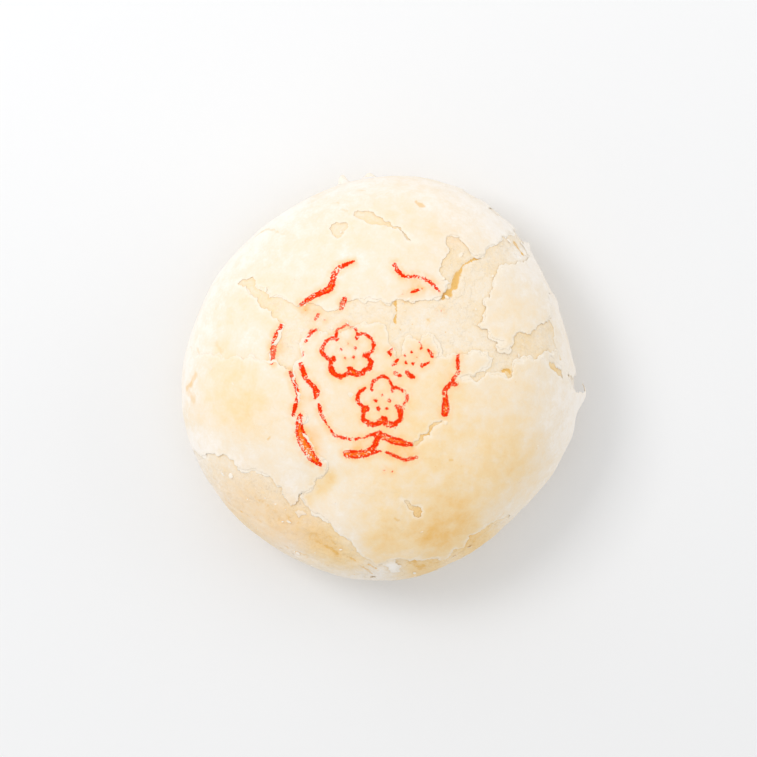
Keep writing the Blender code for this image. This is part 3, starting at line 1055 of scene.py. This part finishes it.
def inner_crust_finish(colours, stamp):
    """The layer under the torn skin: rough, tan in spots beside the torn edges, partly browning and partly
    painted shade under them, ochre in cracks.
    """
    finish = Finish("inner_crust")
    place = finish.place()
    broad = finish.noise(place, grain=7.0, detail=6.0, roughness=0.62)
    mottle = finish.noise(place, grain=1.6, detail=5.0, roughness=0.65)
    fine = finish.noise(place, grain=0.4, detail=4.0, roughness=0.7)
    layer = broad.step(0.48, 0.495) + broad.step(0.57, 0.585)
    toast = finish.attribute("toast") + 0.04
    toast = mottled(toast, (broad, mottle, fine), CRUST_MOTTLING) - (layer - 1.0) * 0.03
    # Tan beside the torn edges: partly browning, partly painted shade where the edges lie over the crust.
    beside = 1.0 - (finish.attribute("near") + (mottle - 0.5) * 0.8).step(0.0, 0.3)
    toast = toast + beside * 0.10
    colour = baked_colour(finish, toast, colours)
    cracked = finish.attribute("crack") * 1.3 + (mottle * 1.6 - 1.3)
    colour = finish.blend(colour, colours.ochre, cracked.step(0.0, 0.7))
    holes = pinholes(finish, place, apart=1.7, radius=0.2, share=0.14)
    colour = finish.blend(colour, colours.ochre, holes * 0.6)
    colour = stamped(finish, place, colour, stamp, strength=0.85)
    finish.surface(colour, 0.85)
    finish.bump(fine * 0.6 + mottle * 0.8 + layer * 0.4, depth=0.00010)
    return finish.material


# ---------------- settings


def length_property(name, description, default, least=0.0):
    return FloatProperty(
        name=name, description=description, default=default, min=least, unit="LENGTH", precision=5
    )


def power_property(name, description, default):
    return FloatProperty(name=name, description=description, default=default, unit="POWER")


def colour_property(name, description, default):
    return FloatVectorProperty(
        name=name, description=description, default=default, size=3, min=0.0, max=1.0, subtype="COLOR"
    )


class CrustSizes(bpy.types.PropertyGroup):
    leaf_thickness: length_property("Leaf thickness", "Leaf away from its torn edges", 0.00008, 0.00005)
    ply_thickness: length_property("Ply thickness", "Ply that shows beyond a leaf", 0.00004, 0.00003)
    curl: length_property("Edge curl", "How far torn edges curl up", 0.00005)
    edge_grain: length_property("Edge grain", "Finest teeth and triangles beside them", 0.00022, 0.0001)
    grain: length_property("Grain", "Triangles away from torn edges", 0.00055, 0.0003)
    print_grain: length_property("Print grain", "Triangles under the stamp's strokes", 0.00028, 0.0002)
    tooth: FloatProperty(
        name="Tooth",
        description="How far a torn edge strays, as a share of each stretch of it",
        default=0.24,
        min=0.0,
        max=0.5,
        subtype="FACTOR",
    )


class CrustColours(bpy.types.PropertyGroup):
    flour: colour_property("Flour", "The whitest skin, at the rim", (0.965, 0.914, 0.85))
    pale: colour_property("Pale", "Skin that hasn't browned", (0.945, 0.876, 0.788))
    cream: colour_property("Cream", "Skin that has hardly browned", (0.915, 0.81, 0.665))
    gold: colour_property("Gold", "Lightly browned skin", (0.925, 0.705, 0.41))
    toast: colour_property("Toast", "Browned skin", (0.90, 0.56, 0.20))
    brown: colour_property("Brown", "The brownest crust, under the pastry", (0.52, 0.26, 0.09))
    torn_edge: colour_property("Torn edge", "Thin skin along a tear", (0.95, 0.875, 0.755))
    ochre: colour_property("Ochre", "Inside the cracks", (0.85, 0.52, 0.17))


class FlakeSettings(bpy.types.PropertyGroup):
    density: FloatProperty(
        name="Density", description="Most flakes on a square metre of crust", default=150000.0, min=0.0
    )
    least: length_property("Least width", "The smallest crumbs", 0.0003, 0.0001)
    most: length_property("Most width", "The largest flakes", 0.0014, 0.0001)
    thickness: length_property("Thickness", "How thick a flake is", 0.00007, 0.00002)
    raggedness: length_property("Raggedness", "How far a flake's outline strays", 0.0004)
    tilt: FloatProperty(
        name="Tilt", description="How far flakes lean", default=math.radians(14), unit="ROTATION"
    )
    seed: IntProperty(name="Seed", description="Scatters them another way", default=3)


class StampSettings(bpy.types.PropertyGroup):
    ink: colour_property("Ink", "The red food colour where it is thick", (0.89, 0.031, 0.0))
    thin_ink: colour_property("Thin ink", "The red food colour where it is thin", (0.96, 0.205, 0.014))
    stain: colour_property("Stain", "The skin round the strokes", (0.96, 0.575, 0.25))
    strength: FloatProperty(name="Strength", description="Of the ink", default=1.0, subtype="FACTOR")
    petals: IntProperty(name="Petals", description="How many each blossom has", default=5, min=3, max=12)


class StageSettings(bpy.types.PropertyGroup):
    camera_height: length_property("Camera height", "Over the floor", EYE_HEIGHT, 0.3)
    view_width: length_property("View width", "Width seen at the girth", 0.1566, 0.01)
    # The floor's two colours paint light on it: darker before the pastry, lighter behind it.
    shaded_near_floor: colour_property("Near floor", "Pale floor before the pastry", (0.785, 0.79, 0.797))
    lit_far_floor: colour_property("Far floor", "Pale floor behind the pastry", (0.838, 0.842, 0.848))
    floor_glow: FloatProperty(name="Floor glow", description="Light from the floor itself", default=0.05)
    key_power: power_property("Key power", "Soft light from the left, high up and behind", 2.8)
    window_power: power_property("Window power", "Near, wide light behind", 0.43)
    reflector_power: power_property("Reflector power", "Large, low light from the right", 2.2)
    fill_power: power_property("Fill power", "Low light from the near left", 0.36)
    sky_strength: FloatProperty(name="Sky strength", description="Even light all round", default=0.715)


# ---------------- the pieces


def lifted(flat, lifts):
    """How far a leaf stands off at some places of the flat skin."""
    rise = np.zeros(len(flat))
    for east, north, reach, height in lifts:
        middle = flat_of(np.array([[east, north]]) * MM)[0]
        span = np.hypot(*(flat - middle).T) / (reach * MM)
        rise += height * MM * np.exp(-span * span)
    return rise


def all_strokes(stamp):
    """The strokes of the frame and of the blossoms in it."""
    return [*OUTER_STROKES, *INNER_STROKES, *blossom_strokes(stamp)]


PRINT_FOOT = GIRTH_HEIGHT + 0.004  # the skin below this height takes no ink
DEEPEST_STAIN = 0.85


def print_layers(places, stamp):
    """The stamp's ink and stain at some places, for the finishes."""
    on_top = places[:, 2] > PRINT_FOOT
    return {
        "ink": np.where(on_top, ink_at(places, all_strokes(stamp)), INK_FADE),
        "stain": np.clip(spots_at(places, STAINED), 0.0, DEEPEST_STAIN),
    }


EDGE_BAND = 0.0010  # how wide a strip along a torn edge has the edge's grain
NEAR_PRINT = -0.5  # how many millimetres outside a stroke the print's grain still reaches
CURL_REACH = 0.0016  # how wide a strip along a torn edge curls up
CURL_FADE = 0.006  # torn edges lie flat at the girth and curl up fully this far above it
THINNED_REACH = 0.0008
THINNED_SHARE = 0.2  # how much of its thickness a leaf still has at its torn edge
EDGE_REACH = 0.003  # how far from a torn edge the finishes can tell that it is near


def curled_leaf(name, shape, level, lifts, thickness, grains, curl, material, stamp, rng, kept=None):
    """A leaf as a thin closed solid that follows the skin, and thins and curls at its torn edge."""
    strokes = all_strokes(stamp) if stamp else ()

    def printed(spots):
        return ink_at(skin_place(spots), strokes) > NEAR_PRINT

    flat, triangles, edge = flat_sheet(*shape, grains, EDGE_BAND, rng, printed, kept)
    smooth = skin_place(flat)
    edge_share = 1.0 - smooth_step(edge / CURL_REACH)
    wave = noise_at(smooth, 0.005, octaves=2, seed=7)
    under = level + broad_relief(flat) + lifted(flat, lifts)
    on_top = smooth_step((GIRTH_ARC - np.hypot(*flat.T)) / CURL_FADE)
    under += curl * on_top * edge_share**2 * np.clip(0.3 + 1.4 * wave, 0.0, 1.5)
    full = THINNED_SHARE + (1.0 - THINNED_SHARE) * smooth_step(edge / THINNED_REACH)
    top = skin_place(flat, under + thickness * full)
    bottom = skin_place(flat, under)
    corners, faces = closed_leaf(top, bottom, triangles)
    layers = {
        "edge": np.clip(edge / EDGE_REACH, 0.0, 1.0),
        "toast": toast_at(smooth, BROWNED_AND_SHADED_SPOTS),
        "crack": crack_depth(flat, MARKS)[1],
    }
    if stamp:
        layers |= print_layers(smooth, stamp)
    layers = {key: np.tile(values, 2) for key, values in layers.items()}
    return fresh_mesh_object(name, corners, faces, layers, material)


def under_leaves(places, leaves):
    """Which places of the flat skin lie under a leaf."""
    covered = np.zeros(len(places), bool)
    for outline, holes in leaves.values():
        under = inside(places, outline)
        for hole in holes:
            under &= ~inside(places, hole)
        covered |= under
    return covered


def torn_edges(leaves):
    """Every closed edge of the leaves, their holes' among them."""
    return [ring for outline, holes in leaves.values() for ring in (outline, *holes)]


# The crust's corners are close where it is bared, down to a little below the girth, and under the
# leaves' edges. Each kind has its spacing, and how far in from those edges the one ends and the other
# begins.
CLOSE_CORNERS = (0.00036, 0.0008)
FAR_CORNERS = (0.0009, 0.0012)
SEEN_REACH = GIRTH_ARC + 0.006
HEM_REACH = BASE_ARC - 0.0006
HEM_CORNERS = 320


def crust_places(leaves, rng):
    """Places for the crust's corners, and which lie under a leaf: they are close where none does."""
    kept, hidden = [], []
    for fine, (spacing, nearby) in ((True, CLOSE_CORNERS), (False, FAR_CORNERS)):
        spots = lattice((-BASE_ARC, -BASE_ARC), (BASE_ARC, BASE_ARC), spacing, rng)
        spots = spots[np.hypot(*spots.T) < (SEEN_REACH if fine else HEM_REACH)]
        covered = under_leaves(spots, leaves)
        close = ~covered | (distance_to(spots, torn_edges(leaves)) < nearby)
        close &= np.hypot(*spots.T) < SEEN_REACH
        wanted = close if fine else ~close
        kept.append(spots[wanted])
        hidden.append(covered[wanted])
    return np.concatenate(kept), np.concatenate(hidden)


LAYERED_FROM = 0.026  # how far down the skin the crust's layers start to show
LAYERED_WIDTH = 0.008
STRETCHED = 3.5  # how much longer the layers' steps run round the side than down it
LAYERS = 2.5
STEP_SHARE = 0.25  # how much of a layer's width its step takes
STEP_HEIGHT = 0.00009
GRAIN_HEIGHT = 0.00004
BLISTER_HEIGHT = 0.00007
SMOOTH_EDGE = 0.0008  # the relief fades out this near a torn edge, which lies on it


def crust_relief(flat, smooth, gap):
    """Grain, blisters and the torn steps of the side's layers."""
    reach = np.hypot(*flat.T)
    bearing = np.arctan2(flat[:, 1], flat[:, 0])
    outer = smooth_step((reach - LAYERED_FROM) / LAYERED_WIDTH)
    grainy = noise_at(smooth, 0.0014, octaves=4, seed=3)
    blisters = np.abs(noise_at(smooth, 0.0036, octaves=3, seed=4))
    unrolled = np.column_stack([bearing * reach / STRETCHED, reach, np.zeros(len(flat))])
    layered = LAYERS * noise_at(unrolled, 0.0045, octaves=4, seed=9)
    steps = np.floor(layered) + smooth_step((layered - np.floor(layered)) / STEP_SHARE)
    relief = GRAIN_HEIGHT * grainy - BLISTER_HEIGHT * blisters + outer * STEP_HEIGHT * steps
    return relief * smooth_step(gap / SMOOTH_EDGE)


# How far the crust lies below the plies: under a leaf, at a torn edge, and how much more away from one
HIDDEN_GAP = 0.00004
BARED_GAP = 0.00002
BARED_FALL = 0.00004
BARED_WIDTH = 0.0015
FOOT_HEIGHT = 0.004  # the crust comes out to the smooth skin over this height at its foot


def crust_shape(flat, hidden, leaves, sizes, stamp):
    """Where the crust's corners are and what they carry, from their places on the flat skin."""
    gap = distance_to(flat, torn_edges(leaves))
    smooth = skin_place(flat)
    depth, crack = crack_depth(flat, CRACKS)
    above_base = smooth_step(smooth[:, 2] / FOOT_HEIGHT)
    skin = sizes.leaf_thickness + sizes.ply_thickness
    bared = BARED_GAP + BARED_FALL * smooth_step(gap / BARED_WIDTH) - crust_relief(flat, smooth, gap)
    rise = broad_relief(flat) - above_base * (skin + np.where(hidden, HIDDEN_GAP, bared)) - depth
    rise[np.hypot(*flat.T) > BASE_ARC - SAME_PLACE] = 0.0
    toast = toast_at(smooth, INNER_BROWNED_AND_SHADED_SPOTS)
    layers = {"near": np.clip(gap / EDGE_REACH, 0.0, 1.0), "toast": toast, "crack": crack}
    return skin_place(flat, rise), layers | print_layers(smooth, stamp)


BASE_GRAIN = 0.0011
BASE_HEM = 0.0004  # the base's own corners keep this far inside its rim
BASE_SOFTNESS = 0.004  # the base sinks in over this width from its rim
BASE_SUNK = 0.00035
BASE_DIMPLES = 0.0002
BASE_TOAST = 0.62
BASE_BLOTCHES = 0.3


def with_base(corners, faces, layers, rim, rng):
    """Closes the crust underneath with a slightly sunken base that shares the rim's corners."""
    ring = corners[rim, :2]
    spots = lattice(ring.min(axis=0), ring.max(axis=0), BASE_GRAIN, rng)
    spots = spots[inside(spots, ring)]
    spots = spots[distance_to(spots, [ring]) > BASE_HEM]
    flat, triangles, _ = triangulate(spots, [ring])
    triangles = triangles[inside(flat[triangles].mean(axis=1), ring)]
    places = on_floor(flat)
    sunk = smooth_step(distance_to(flat, [ring]) / BASE_SOFTNESS)
    dimples = BASE_DIMPLES * noise_at(places, 0.006, octaves=4, seed=5)
    places[:, 2] = np.maximum(sunk * (BASE_SUNK + dimples), 0.0)

    number = np.empty(len(flat), int)
    added = []
    for index, (_, nearest, gap) in enumerate(nearest_to(flat, ring)):
        if gap < SAME_PLACE:
            number[index] = rim[nearest]
        else:
            number[index] = len(corners) + len(added)
            added.append(index)
    base_faces = number[triangles][:, ::-1]
    blotch = 0.5 + 0.5 * noise_at(places[added], 0.008, octaves=3, seed=6)
    fill = {"near": 1.0, "toast": BASE_TOAST + BASE_BLOTCHES * blotch}
    layers = {
        key: np.concatenate([values, np.broadcast_to(fill.get(key, 0.0), len(added))])
        for key, values in layers.items()
    }
    return np.concatenate([corners, places[added]]), faces + base_faces.tolist(), layers


class PASTRY_OT_inner_crust(bpy.types.Operator):
    """Makes the crust under the torn leaves, with its sides and underside"""

    bl_idname = "pastry.inner_crust"
    bl_label = "Inner crust"

    def execute(self, context):
        sizes, stamp = context.scene.crust_sizes, context.scene.stamp
        rng = np.random.default_rng(CRUST_SEED)
        leaves = torn_leaves(sizes)
        places, hidden = crust_places(leaves, rng)
        hem = hem_ring(BASE_ARC, HEM_CORNERS)
        flat, triangles, sources = triangulate(places, [hem])
        hidden = np.append(hidden, np.ones(len(hem), bool))[sources]
        corners, layers = crust_shape(flat, hidden, leaves, sizes, stamp)
        rim = np.flatnonzero(sources >= len(places))
        rim = rim[np.argsort(np.arctan2(flat[rim, 1], flat[rim, 0]))]
        corners, faces, layers = with_base(corners, triangles.tolist(), layers, rim, rng)
        material = inner_crust_finish(context.scene.crust_colours, stamp)
        crust = fresh_mesh_object("inner_crust", corners, faces, layers, material)
        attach(crust, "root")
        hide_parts("pastry")
        return {"FINISHED"}


class PASTRY_OT_leaves(bpy.types.Operator):
    """Makes the torn outer leaves of the skin"""

    bl_idname = "pastry.leaves"
    bl_label = "Outer leaves"

    def execute(self, context):
        sizes, stamp = context.scene.crust_sizes, context.scene.stamp
        material = torn_skin_finish("torn_skin", context.scene.crust_colours, stamp)
        shapes = torn_leaves(sizes)
        grains = (sizes.grain, sizes.print_grain, sizes.edge_grain)
        thickness = sizes.leaf_thickness
        for number, (name, (_, _, level, lifts)) in enumerate((LEAVES | SCRAPS).items()):
            rng = np.random.default_rng(LEAF_SEED + number)
            level = level * MM - thickness
            leaf = curled_leaf(
                name, shapes[name], level, lifts, thickness, grains, sizes.curl, material, stamp, rng
            )
            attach(leaf, "root")
        return {"FINISHED"}


PLY_OVERHANG = (-0.0006, 0.0008)  # how far a ply shows beyond its leaf, at least and at most
PLY_REACH = 0.0022  # a ply is a strip this far to either side of its leaf's edge
PLY_GRAINS = (0.0005, 0.00028)
PLY_CURL = 0.5  # as a share of the leaves' curl


class PASTRY_OT_plies(bpy.types.Operator):
    """Makes the pale plies that show a little beyond the leaves' torn edges"""

    bl_idname = "pastry.plies"
    bl_label = "Pale plies"

    def execute(self, context):
        sizes = context.scene.crust_sizes
        material = torn_skin_finish("pale_ply", context.scene.crust_colours)
        shapes = torn_leaves(sizes)
        for number, (name, (_, _, level, lifts)) in enumerate(LEAVES.items()):
            rng = np.random.default_rng(PLY_SEED + number)
            outline, _ = shapes[name]
            wider = grown(outline, rng, *PLY_OVERHANG)
            wider = turned_left(roughened(wider, rng, sizes.tooth, sizes.edge_grain))
            level = level * MM - sizes.leaf_thickness - sizes.ply_thickness

            def near_edge(places, outline=outline):
                return distance_to(places, [outline]) < PLY_REACH

            curl = PLY_CURL * sizes.curl
            ply = curled_leaf(
                name + "_ply", (wider, []), level, lifts, sizes.ply_thickness, PLY_GRAINS, curl, material,
                None, rng, near_edge,
            )
            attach(ply, "root")
        return {"FINISHED"}


# ---------------- loose flakes


class Tree(NodeMaker):
    """A Geometry Nodes tree with named inputs, built node by node."""

    def __init__(self, name, inputs):
        old = bpy.data.node_groups.get(name)
        if old:
            bpy.data.node_groups.remove(old)
        self.tree = bpy.data.node_groups.new(name, "GeometryNodeTree")
        self.tree.interface.new_socket("Geometry", in_out="OUTPUT", socket_type="NodeSocketGeometry")
        for label, kind in inputs:
            self.tree.interface.new_socket(label, in_out="INPUT", socket_type="NodeSocket" + kind)
        self.given = self.tree.nodes.new("NodeGroupInput").outputs

    def node(self, kind, settings=None, inputs=None, output=0):
        return self.made(kind, settings, inputs).outputs[output]

    def math(self, operation, first, second):
        return self.node("ShaderNodeMath", {"operation": operation}, {0: first, 1: second})

    def vector(self, operation, inputs):
        return self.node("ShaderNodeVectorMath", {"operation": operation}, inputs)

    def end(self, geometry):
        self.made("NodeGroupOutput", inputs={0: geometry})
        return self.tree


def flake_tree():
    """Scatters thin ragged flakes over a surface, most where its scatter attribute is high."""
    inputs = (
        ("Surface", "Geometry"), ("Density", "Float"), ("Least width", "Float"), ("Most width", "Float"),
        ("Thickness", "Float"), ("Tilt", "Float"), ("Raggedness", "Float"), ("Seed", "Int"),
        ("Finish", "Material"),
    )
    tree = Tree("loose_flakes", inputs)
    given = tree.given
    share = tree.node("GeometryNodeInputNamedAttribute", {"data_type": "FLOAT"}, {"Name": "scatter"})
    density = tree.math("MULTIPLY", share, given["Density"])
    spread = {"Mesh": given["Surface"], "Density": density, "Seed": given["Seed"]}
    points = tree.made("GeometryNodeDistributePointsOnFaces", inputs=spread).outputs

    lot = tree.node("FunctionNodeRandomValue", inputs={"Seed": 1}, output=1)
    spare = tree.math("SUBTRACT", given["Most width"], given["Least width"])
    width = tree.math("MULTIPLY", tree.math("POWER", lot, 3.0), spare)
    width = tree.math("ADD", width, given["Least width"])
    slim = tree.node("FunctionNodeRandomValue", inputs={2: 0.45, 3: 1.0, "Seed": 2}, output=1)
    size = {0: width, 1: tree.math("MULTIPLY", width, slim), 2: 1.0}
    size = tree.node("ShaderNodeCombineXYZ", inputs=size)

    lean = {0: (-1.0, -1.0, -math.pi), 1: (1.0, 1.0, math.pi), "Seed": 3}
    lean = tree.node("FunctionNodeRandomValue", {"data_type": "FLOAT_VECTOR"}, lean)
    most = tree.node("ShaderNodeCombineXYZ", inputs={0: given["Tilt"], 1: given["Tilt"], 2: 1.0})
    lean = tree.vector("MULTIPLY", {0: lean, 1: most})
    lean = tree.node("FunctionNodeEulerToRotation", inputs={0: lean})
    turn = {0: points["Rotation"], 1: lean}
    turn = tree.node("FunctionNodeRotateRotation", {"rotation_space": "LOCAL"}, turn)

    plate = {"Vertices": 7, "Radius": 0.5, "Depth": given["Thickness"]}
    plate = tree.node("GeometryNodeMeshCylinder", {"fill_type": "TRIANGLE_FAN"}, plate)
    laid = {"Points": points["Points"], "Instance": plate, "Rotation": turn, "Scale": size}
    laid = tree.node("GeometryNodeInstanceOnPoints", inputs=laid)
    real = tree.node("GeometryNodeRealizeInstances", inputs={0: laid})

    stray = tree.node("ShaderNodeTexNoise", inputs={"Scale": 1800.0, "Detail": 1.0}, output="Color")
    stray = tree.vector("SUBTRACT", {0: stray, 1: (0.5, 0.5, 0.5)})
    stray = tree.vector("SCALE", {0: stray, "Scale": given["Raggedness"]})
    ragged = tree.node("GeometryNodeSetPosition", inputs={"Geometry": real, "Offset": stray})
    done = tree.node("GeometryNodeSetMaterial", inputs={0: ragged, "Material": given["Finish"]})
    return tree.end(done)


def made_by(tree, base, values, name):
    """The plain mesh object that a Geometry Nodes tree makes of a base object, in the base's place."""
    modifier = base.modifiers.new(tree.name, "NODES")
    modifier.node_group = tree
    for item in tree.interface.items_tree:
        if item.in_out == "INPUT" and item.name in values:
            modifier[item.identifier] = values[item.name]
    graph = bpy.context.evaluated_depsgraph_get()
    made = base.evaluated_get(graph)
    mesh = bpy.data.meshes.new_from_object(made, preserve_all_data_layers=True, depsgraph=graph)
    base.modifiers.remove(modifier)
    bpy.data.objects.remove(base)
    piece = bpy.data.objects.new(name, mesh)
    bpy.context.scene.collection.objects.link(piece)
    return piece


FLAKE_GROUND_GRAIN = 0.0008
FLAKE_GROUND_CORNERS = 200
FLAKE_GAP = 0.00004  # how far the flakes' middles lie over the skin
BESIDE_EDGE = 0.0011  # most flakes lie about this near a torn edge


def flake_ground(leaves, sizes, rng):
    """A rough surface over the crust and its leaves, whose scatter attribute says where flakes lie."""
    spots = lattice((-GIRTH_ARC, -GIRTH_ARC), (GIRTH_ARC, GIRTH_ARC), FLAKE_GROUND_GRAIN, rng)
    spots = spots[np.hypot(*spots.T) < GIRTH_ARC]
    flat, triangles, _ = triangulate(spots, [hem_ring(GIRTH_ARC, FLAKE_GROUND_CORNERS)])
    covered = under_leaves(flat, leaves)
    gap = distance_to(flat, torn_edges(leaves))
    smooth = skin_place(flat)
    skin = sizes.leaf_thickness + sizes.ply_thickness
    rise = broad_relief(flat) + np.where(covered, 0.0, -skin) + FLAKE_GAP
    beside = np.exp(-((gap / BESIDE_EDGE) ** 2))
    scatter = np.where(covered, 0.03 + 0.22 * beside, 0.30 + 0.70 * beside)
    scatter *= np.clip(0.55 + 0.9 * noise_at(smooth, 0.006, octaves=2, seed=21), 0.0, 1.0)
    layers = {"scatter": scatter, "toast": toast_at(smooth, BROWNED_AND_SHADED_SPOTS)}
    return fresh_mesh_object("flake_ground", skin_place(flat, rise), triangles.tolist(), layers, None)


class PASTRY_OT_loose_flakes(bpy.types.Operator):
    """Scatters small loose flakes over the bared crust and along the torn edges"""

    bl_idname = "pastry.loose_flakes"
    bl_label = "Loose flakes"

    def execute(self, context):
        sizes, flakes = context.scene.crust_sizes, context.scene.flakes
        finish = torn_skin_finish("loose_flake", context.scene.crust_colours)
        # The tree's inputs have the settings' own names.
        settings = FlakeSettings.__annotations__
        values = {flakes.bl_rna.properties[key].name: getattr(flakes, key) for key in settings}
        values["Finish"] = finish
        ground = flake_ground(torn_leaves(sizes), sizes, np.random.default_rng(FLAKE_SEED))
        piece = made_by(flake_tree(), ground, values, "loose_flakes")
        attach(piece, "root")
        return {"FINISHED"}


# ---------------- the stage


# The soft lights: where each stands and how wide it is
LIGHTS = {
    "key": ((-0.505, 0.275, 0.818), 0.36),
    "window": ((-0.2, 0.38, 0.38), 0.5),
    "reflector": ((1.05, 0.25, 0.50), 1.0),
    "fill": ((-0.50, -0.65, 0.38), 0.6),
}
WHITE = (1.0, 1.0, 1.0, 1.0)
FLOOR_REACH = 3.0
FLOOR_GAP = 0.0001  # how far the floor lies under the base, so that they don't touch
# Painted light: how far the floor's colour takes to go from its darker front to its lighter back.
FLOOR_LIGHT_FADE = 130.0  # the floor turns from its near to its far colour over this many millimetres each way
FLOOR_ROUGHNESS = 0.9
VIEW_END = 10.0


def make_floor(stage):
    """A wide, flat floor just under the base, with painted light: darker before the pastry and lighter behind
    it.
    """
    finish = Finish("pale_floor")
    north = finish.node("ShaderNodeSeparateXYZ", inputs={0: finish.place()}, output=1)
    # Painted light: the floor's colour grows lighter towards the back.
    behind = north.step(-FLOOR_LIGHT_FADE, FLOOR_LIGHT_FADE)
    finish.surface(finish.blend(stage.shaded_near_floor, stage.lit_far_floor, behind), FLOOR_ROUGHNESS)
    finish.feed(finish.shader.inputs["Emission Color"], WHITE)
    finish.feed(finish.shader.inputs["Emission Strength"], stage.floor_glow)
    sides = ((-1, -1), (1, -1), (1, 1), (-1, 1))
    corners = np.array([(FLOOR_REACH * east, FLOOR_REACH * north, -FLOOR_GAP) for east, north in sides])
    return fresh_mesh_object("floor", corners, [(0, 1, 2, 3)], {}, finish.material)


def soft_light(name, place, size, power, collection):
    """A square light of even glow that faces the pastry."""
    lamp = bpy.data.lights.new(name, "AREA")
    lamp.energy = power
    lamp.size = size
    light = bpy.data.objects.new(name, lamp)
    light.location = place
    light.rotation_euler = (-Vector(place)).to_track_quat("-Z", "Y").to_euler()
    collection.objects.link(light)


def make_sky(stage, scene):
    """Even light from all round, shown by the plain view transform."""
    scene.world = bpy.data.worlds.new("even_sky")
    scene.world.use_nodes = True
    sky = scene.world.node_tree.nodes["Background"].inputs
    sky["Color"].default_value = WHITE
    sky["Strength"].default_value = stage.sky_strength
    scene.view_settings.view_transform = "Standard"


def make_camera(stage, scene):
    """A camera straight above that looks down."""
    camera = bpy.data.cameras.new("camera")
    camera.lens = camera.sensor_width * (stage.camera_height - GIRTH_HEIGHT) / stage.view_width
    camera.clip_end = VIEW_END
    eye = bpy.data.objects.new("camera", camera)
    eye.location = (0.0, 0.0, stage.camera_height)
    scene.collection.objects.link(eye)
    return eye


class PASTRY_OT_stage(bpy.types.Operator):
    """Makes the pale floor, the soft light and the camera straight above"""

    bl_idname = "pastry.stage"
    bl_label = "Stage"

    def execute(self, context):
        stage = context.scene.stage
        floor = make_floor(stage)
        for name, (place, size) in LIGHTS.items():
            soft_light(name, place, size, getattr(stage, name + "_power"), context.scene.collection)
        make_sky(stage, context.scene)
        context.scene.camera = make_camera(stage, context.scene)
        return {"FINISHED"}


# ---------------- the add-on

OPERATORS = (
    PASTRY_OT_inner_crust, PASTRY_OT_leaves, PASTRY_OT_plies, PASTRY_OT_loose_flakes, PASTRY_OT_stage
)
SETTINGS = {
    "crust_sizes": CrustSizes,
    "crust_colours": CrustColours,
    "flakes": FlakeSettings,
    "stamp": StampSettings,
    "stage": StageSettings,
}


class PASTRY_PT_panel(bpy.types.Panel):
    """Lists the pastry's pieces and settings"""

    bl_idname = "PASTRY_PT_panel"
    bl_label = "Puff pastry"
    bl_space_type = "VIEW_3D"
    bl_region_type = "UI"
    bl_category = "Pastry"

    def draw(self, context):
        for operator in OPERATORS:
            self.layout.operator(operator.bl_idname)
        for name, settings in SETTINGS.items():
            box = self.layout.box()
            for key in settings.__annotations__:
                box.prop(getattr(context.scene, name), key)


def register():
    for kind in (*SETTINGS.values(), *OPERATORS, PASTRY_PT_panel):
        bpy.utils.register_class(kind)
    for name, settings in SETTINGS.items():
        setattr(bpy.types.Scene, name, PointerProperty(type=settings))


def unregister():
    for name in SETTINGS:
        delattr(bpy.types.Scene, name)
    for kind in reversed((*SETTINGS.values(), *OPERATORS, PASTRY_PT_panel)):
        bpy.utils.unregister_class(kind)


def main():
    register()
    bpy.ops.pastry.inner_crust()
    bpy.ops.pastry.leaves()
    bpy.ops.pastry.plies()
    bpy.ops.pastry.loose_flakes()
    bpy.ops.pastry.stage()


if __name__ == "__main__":
    main()
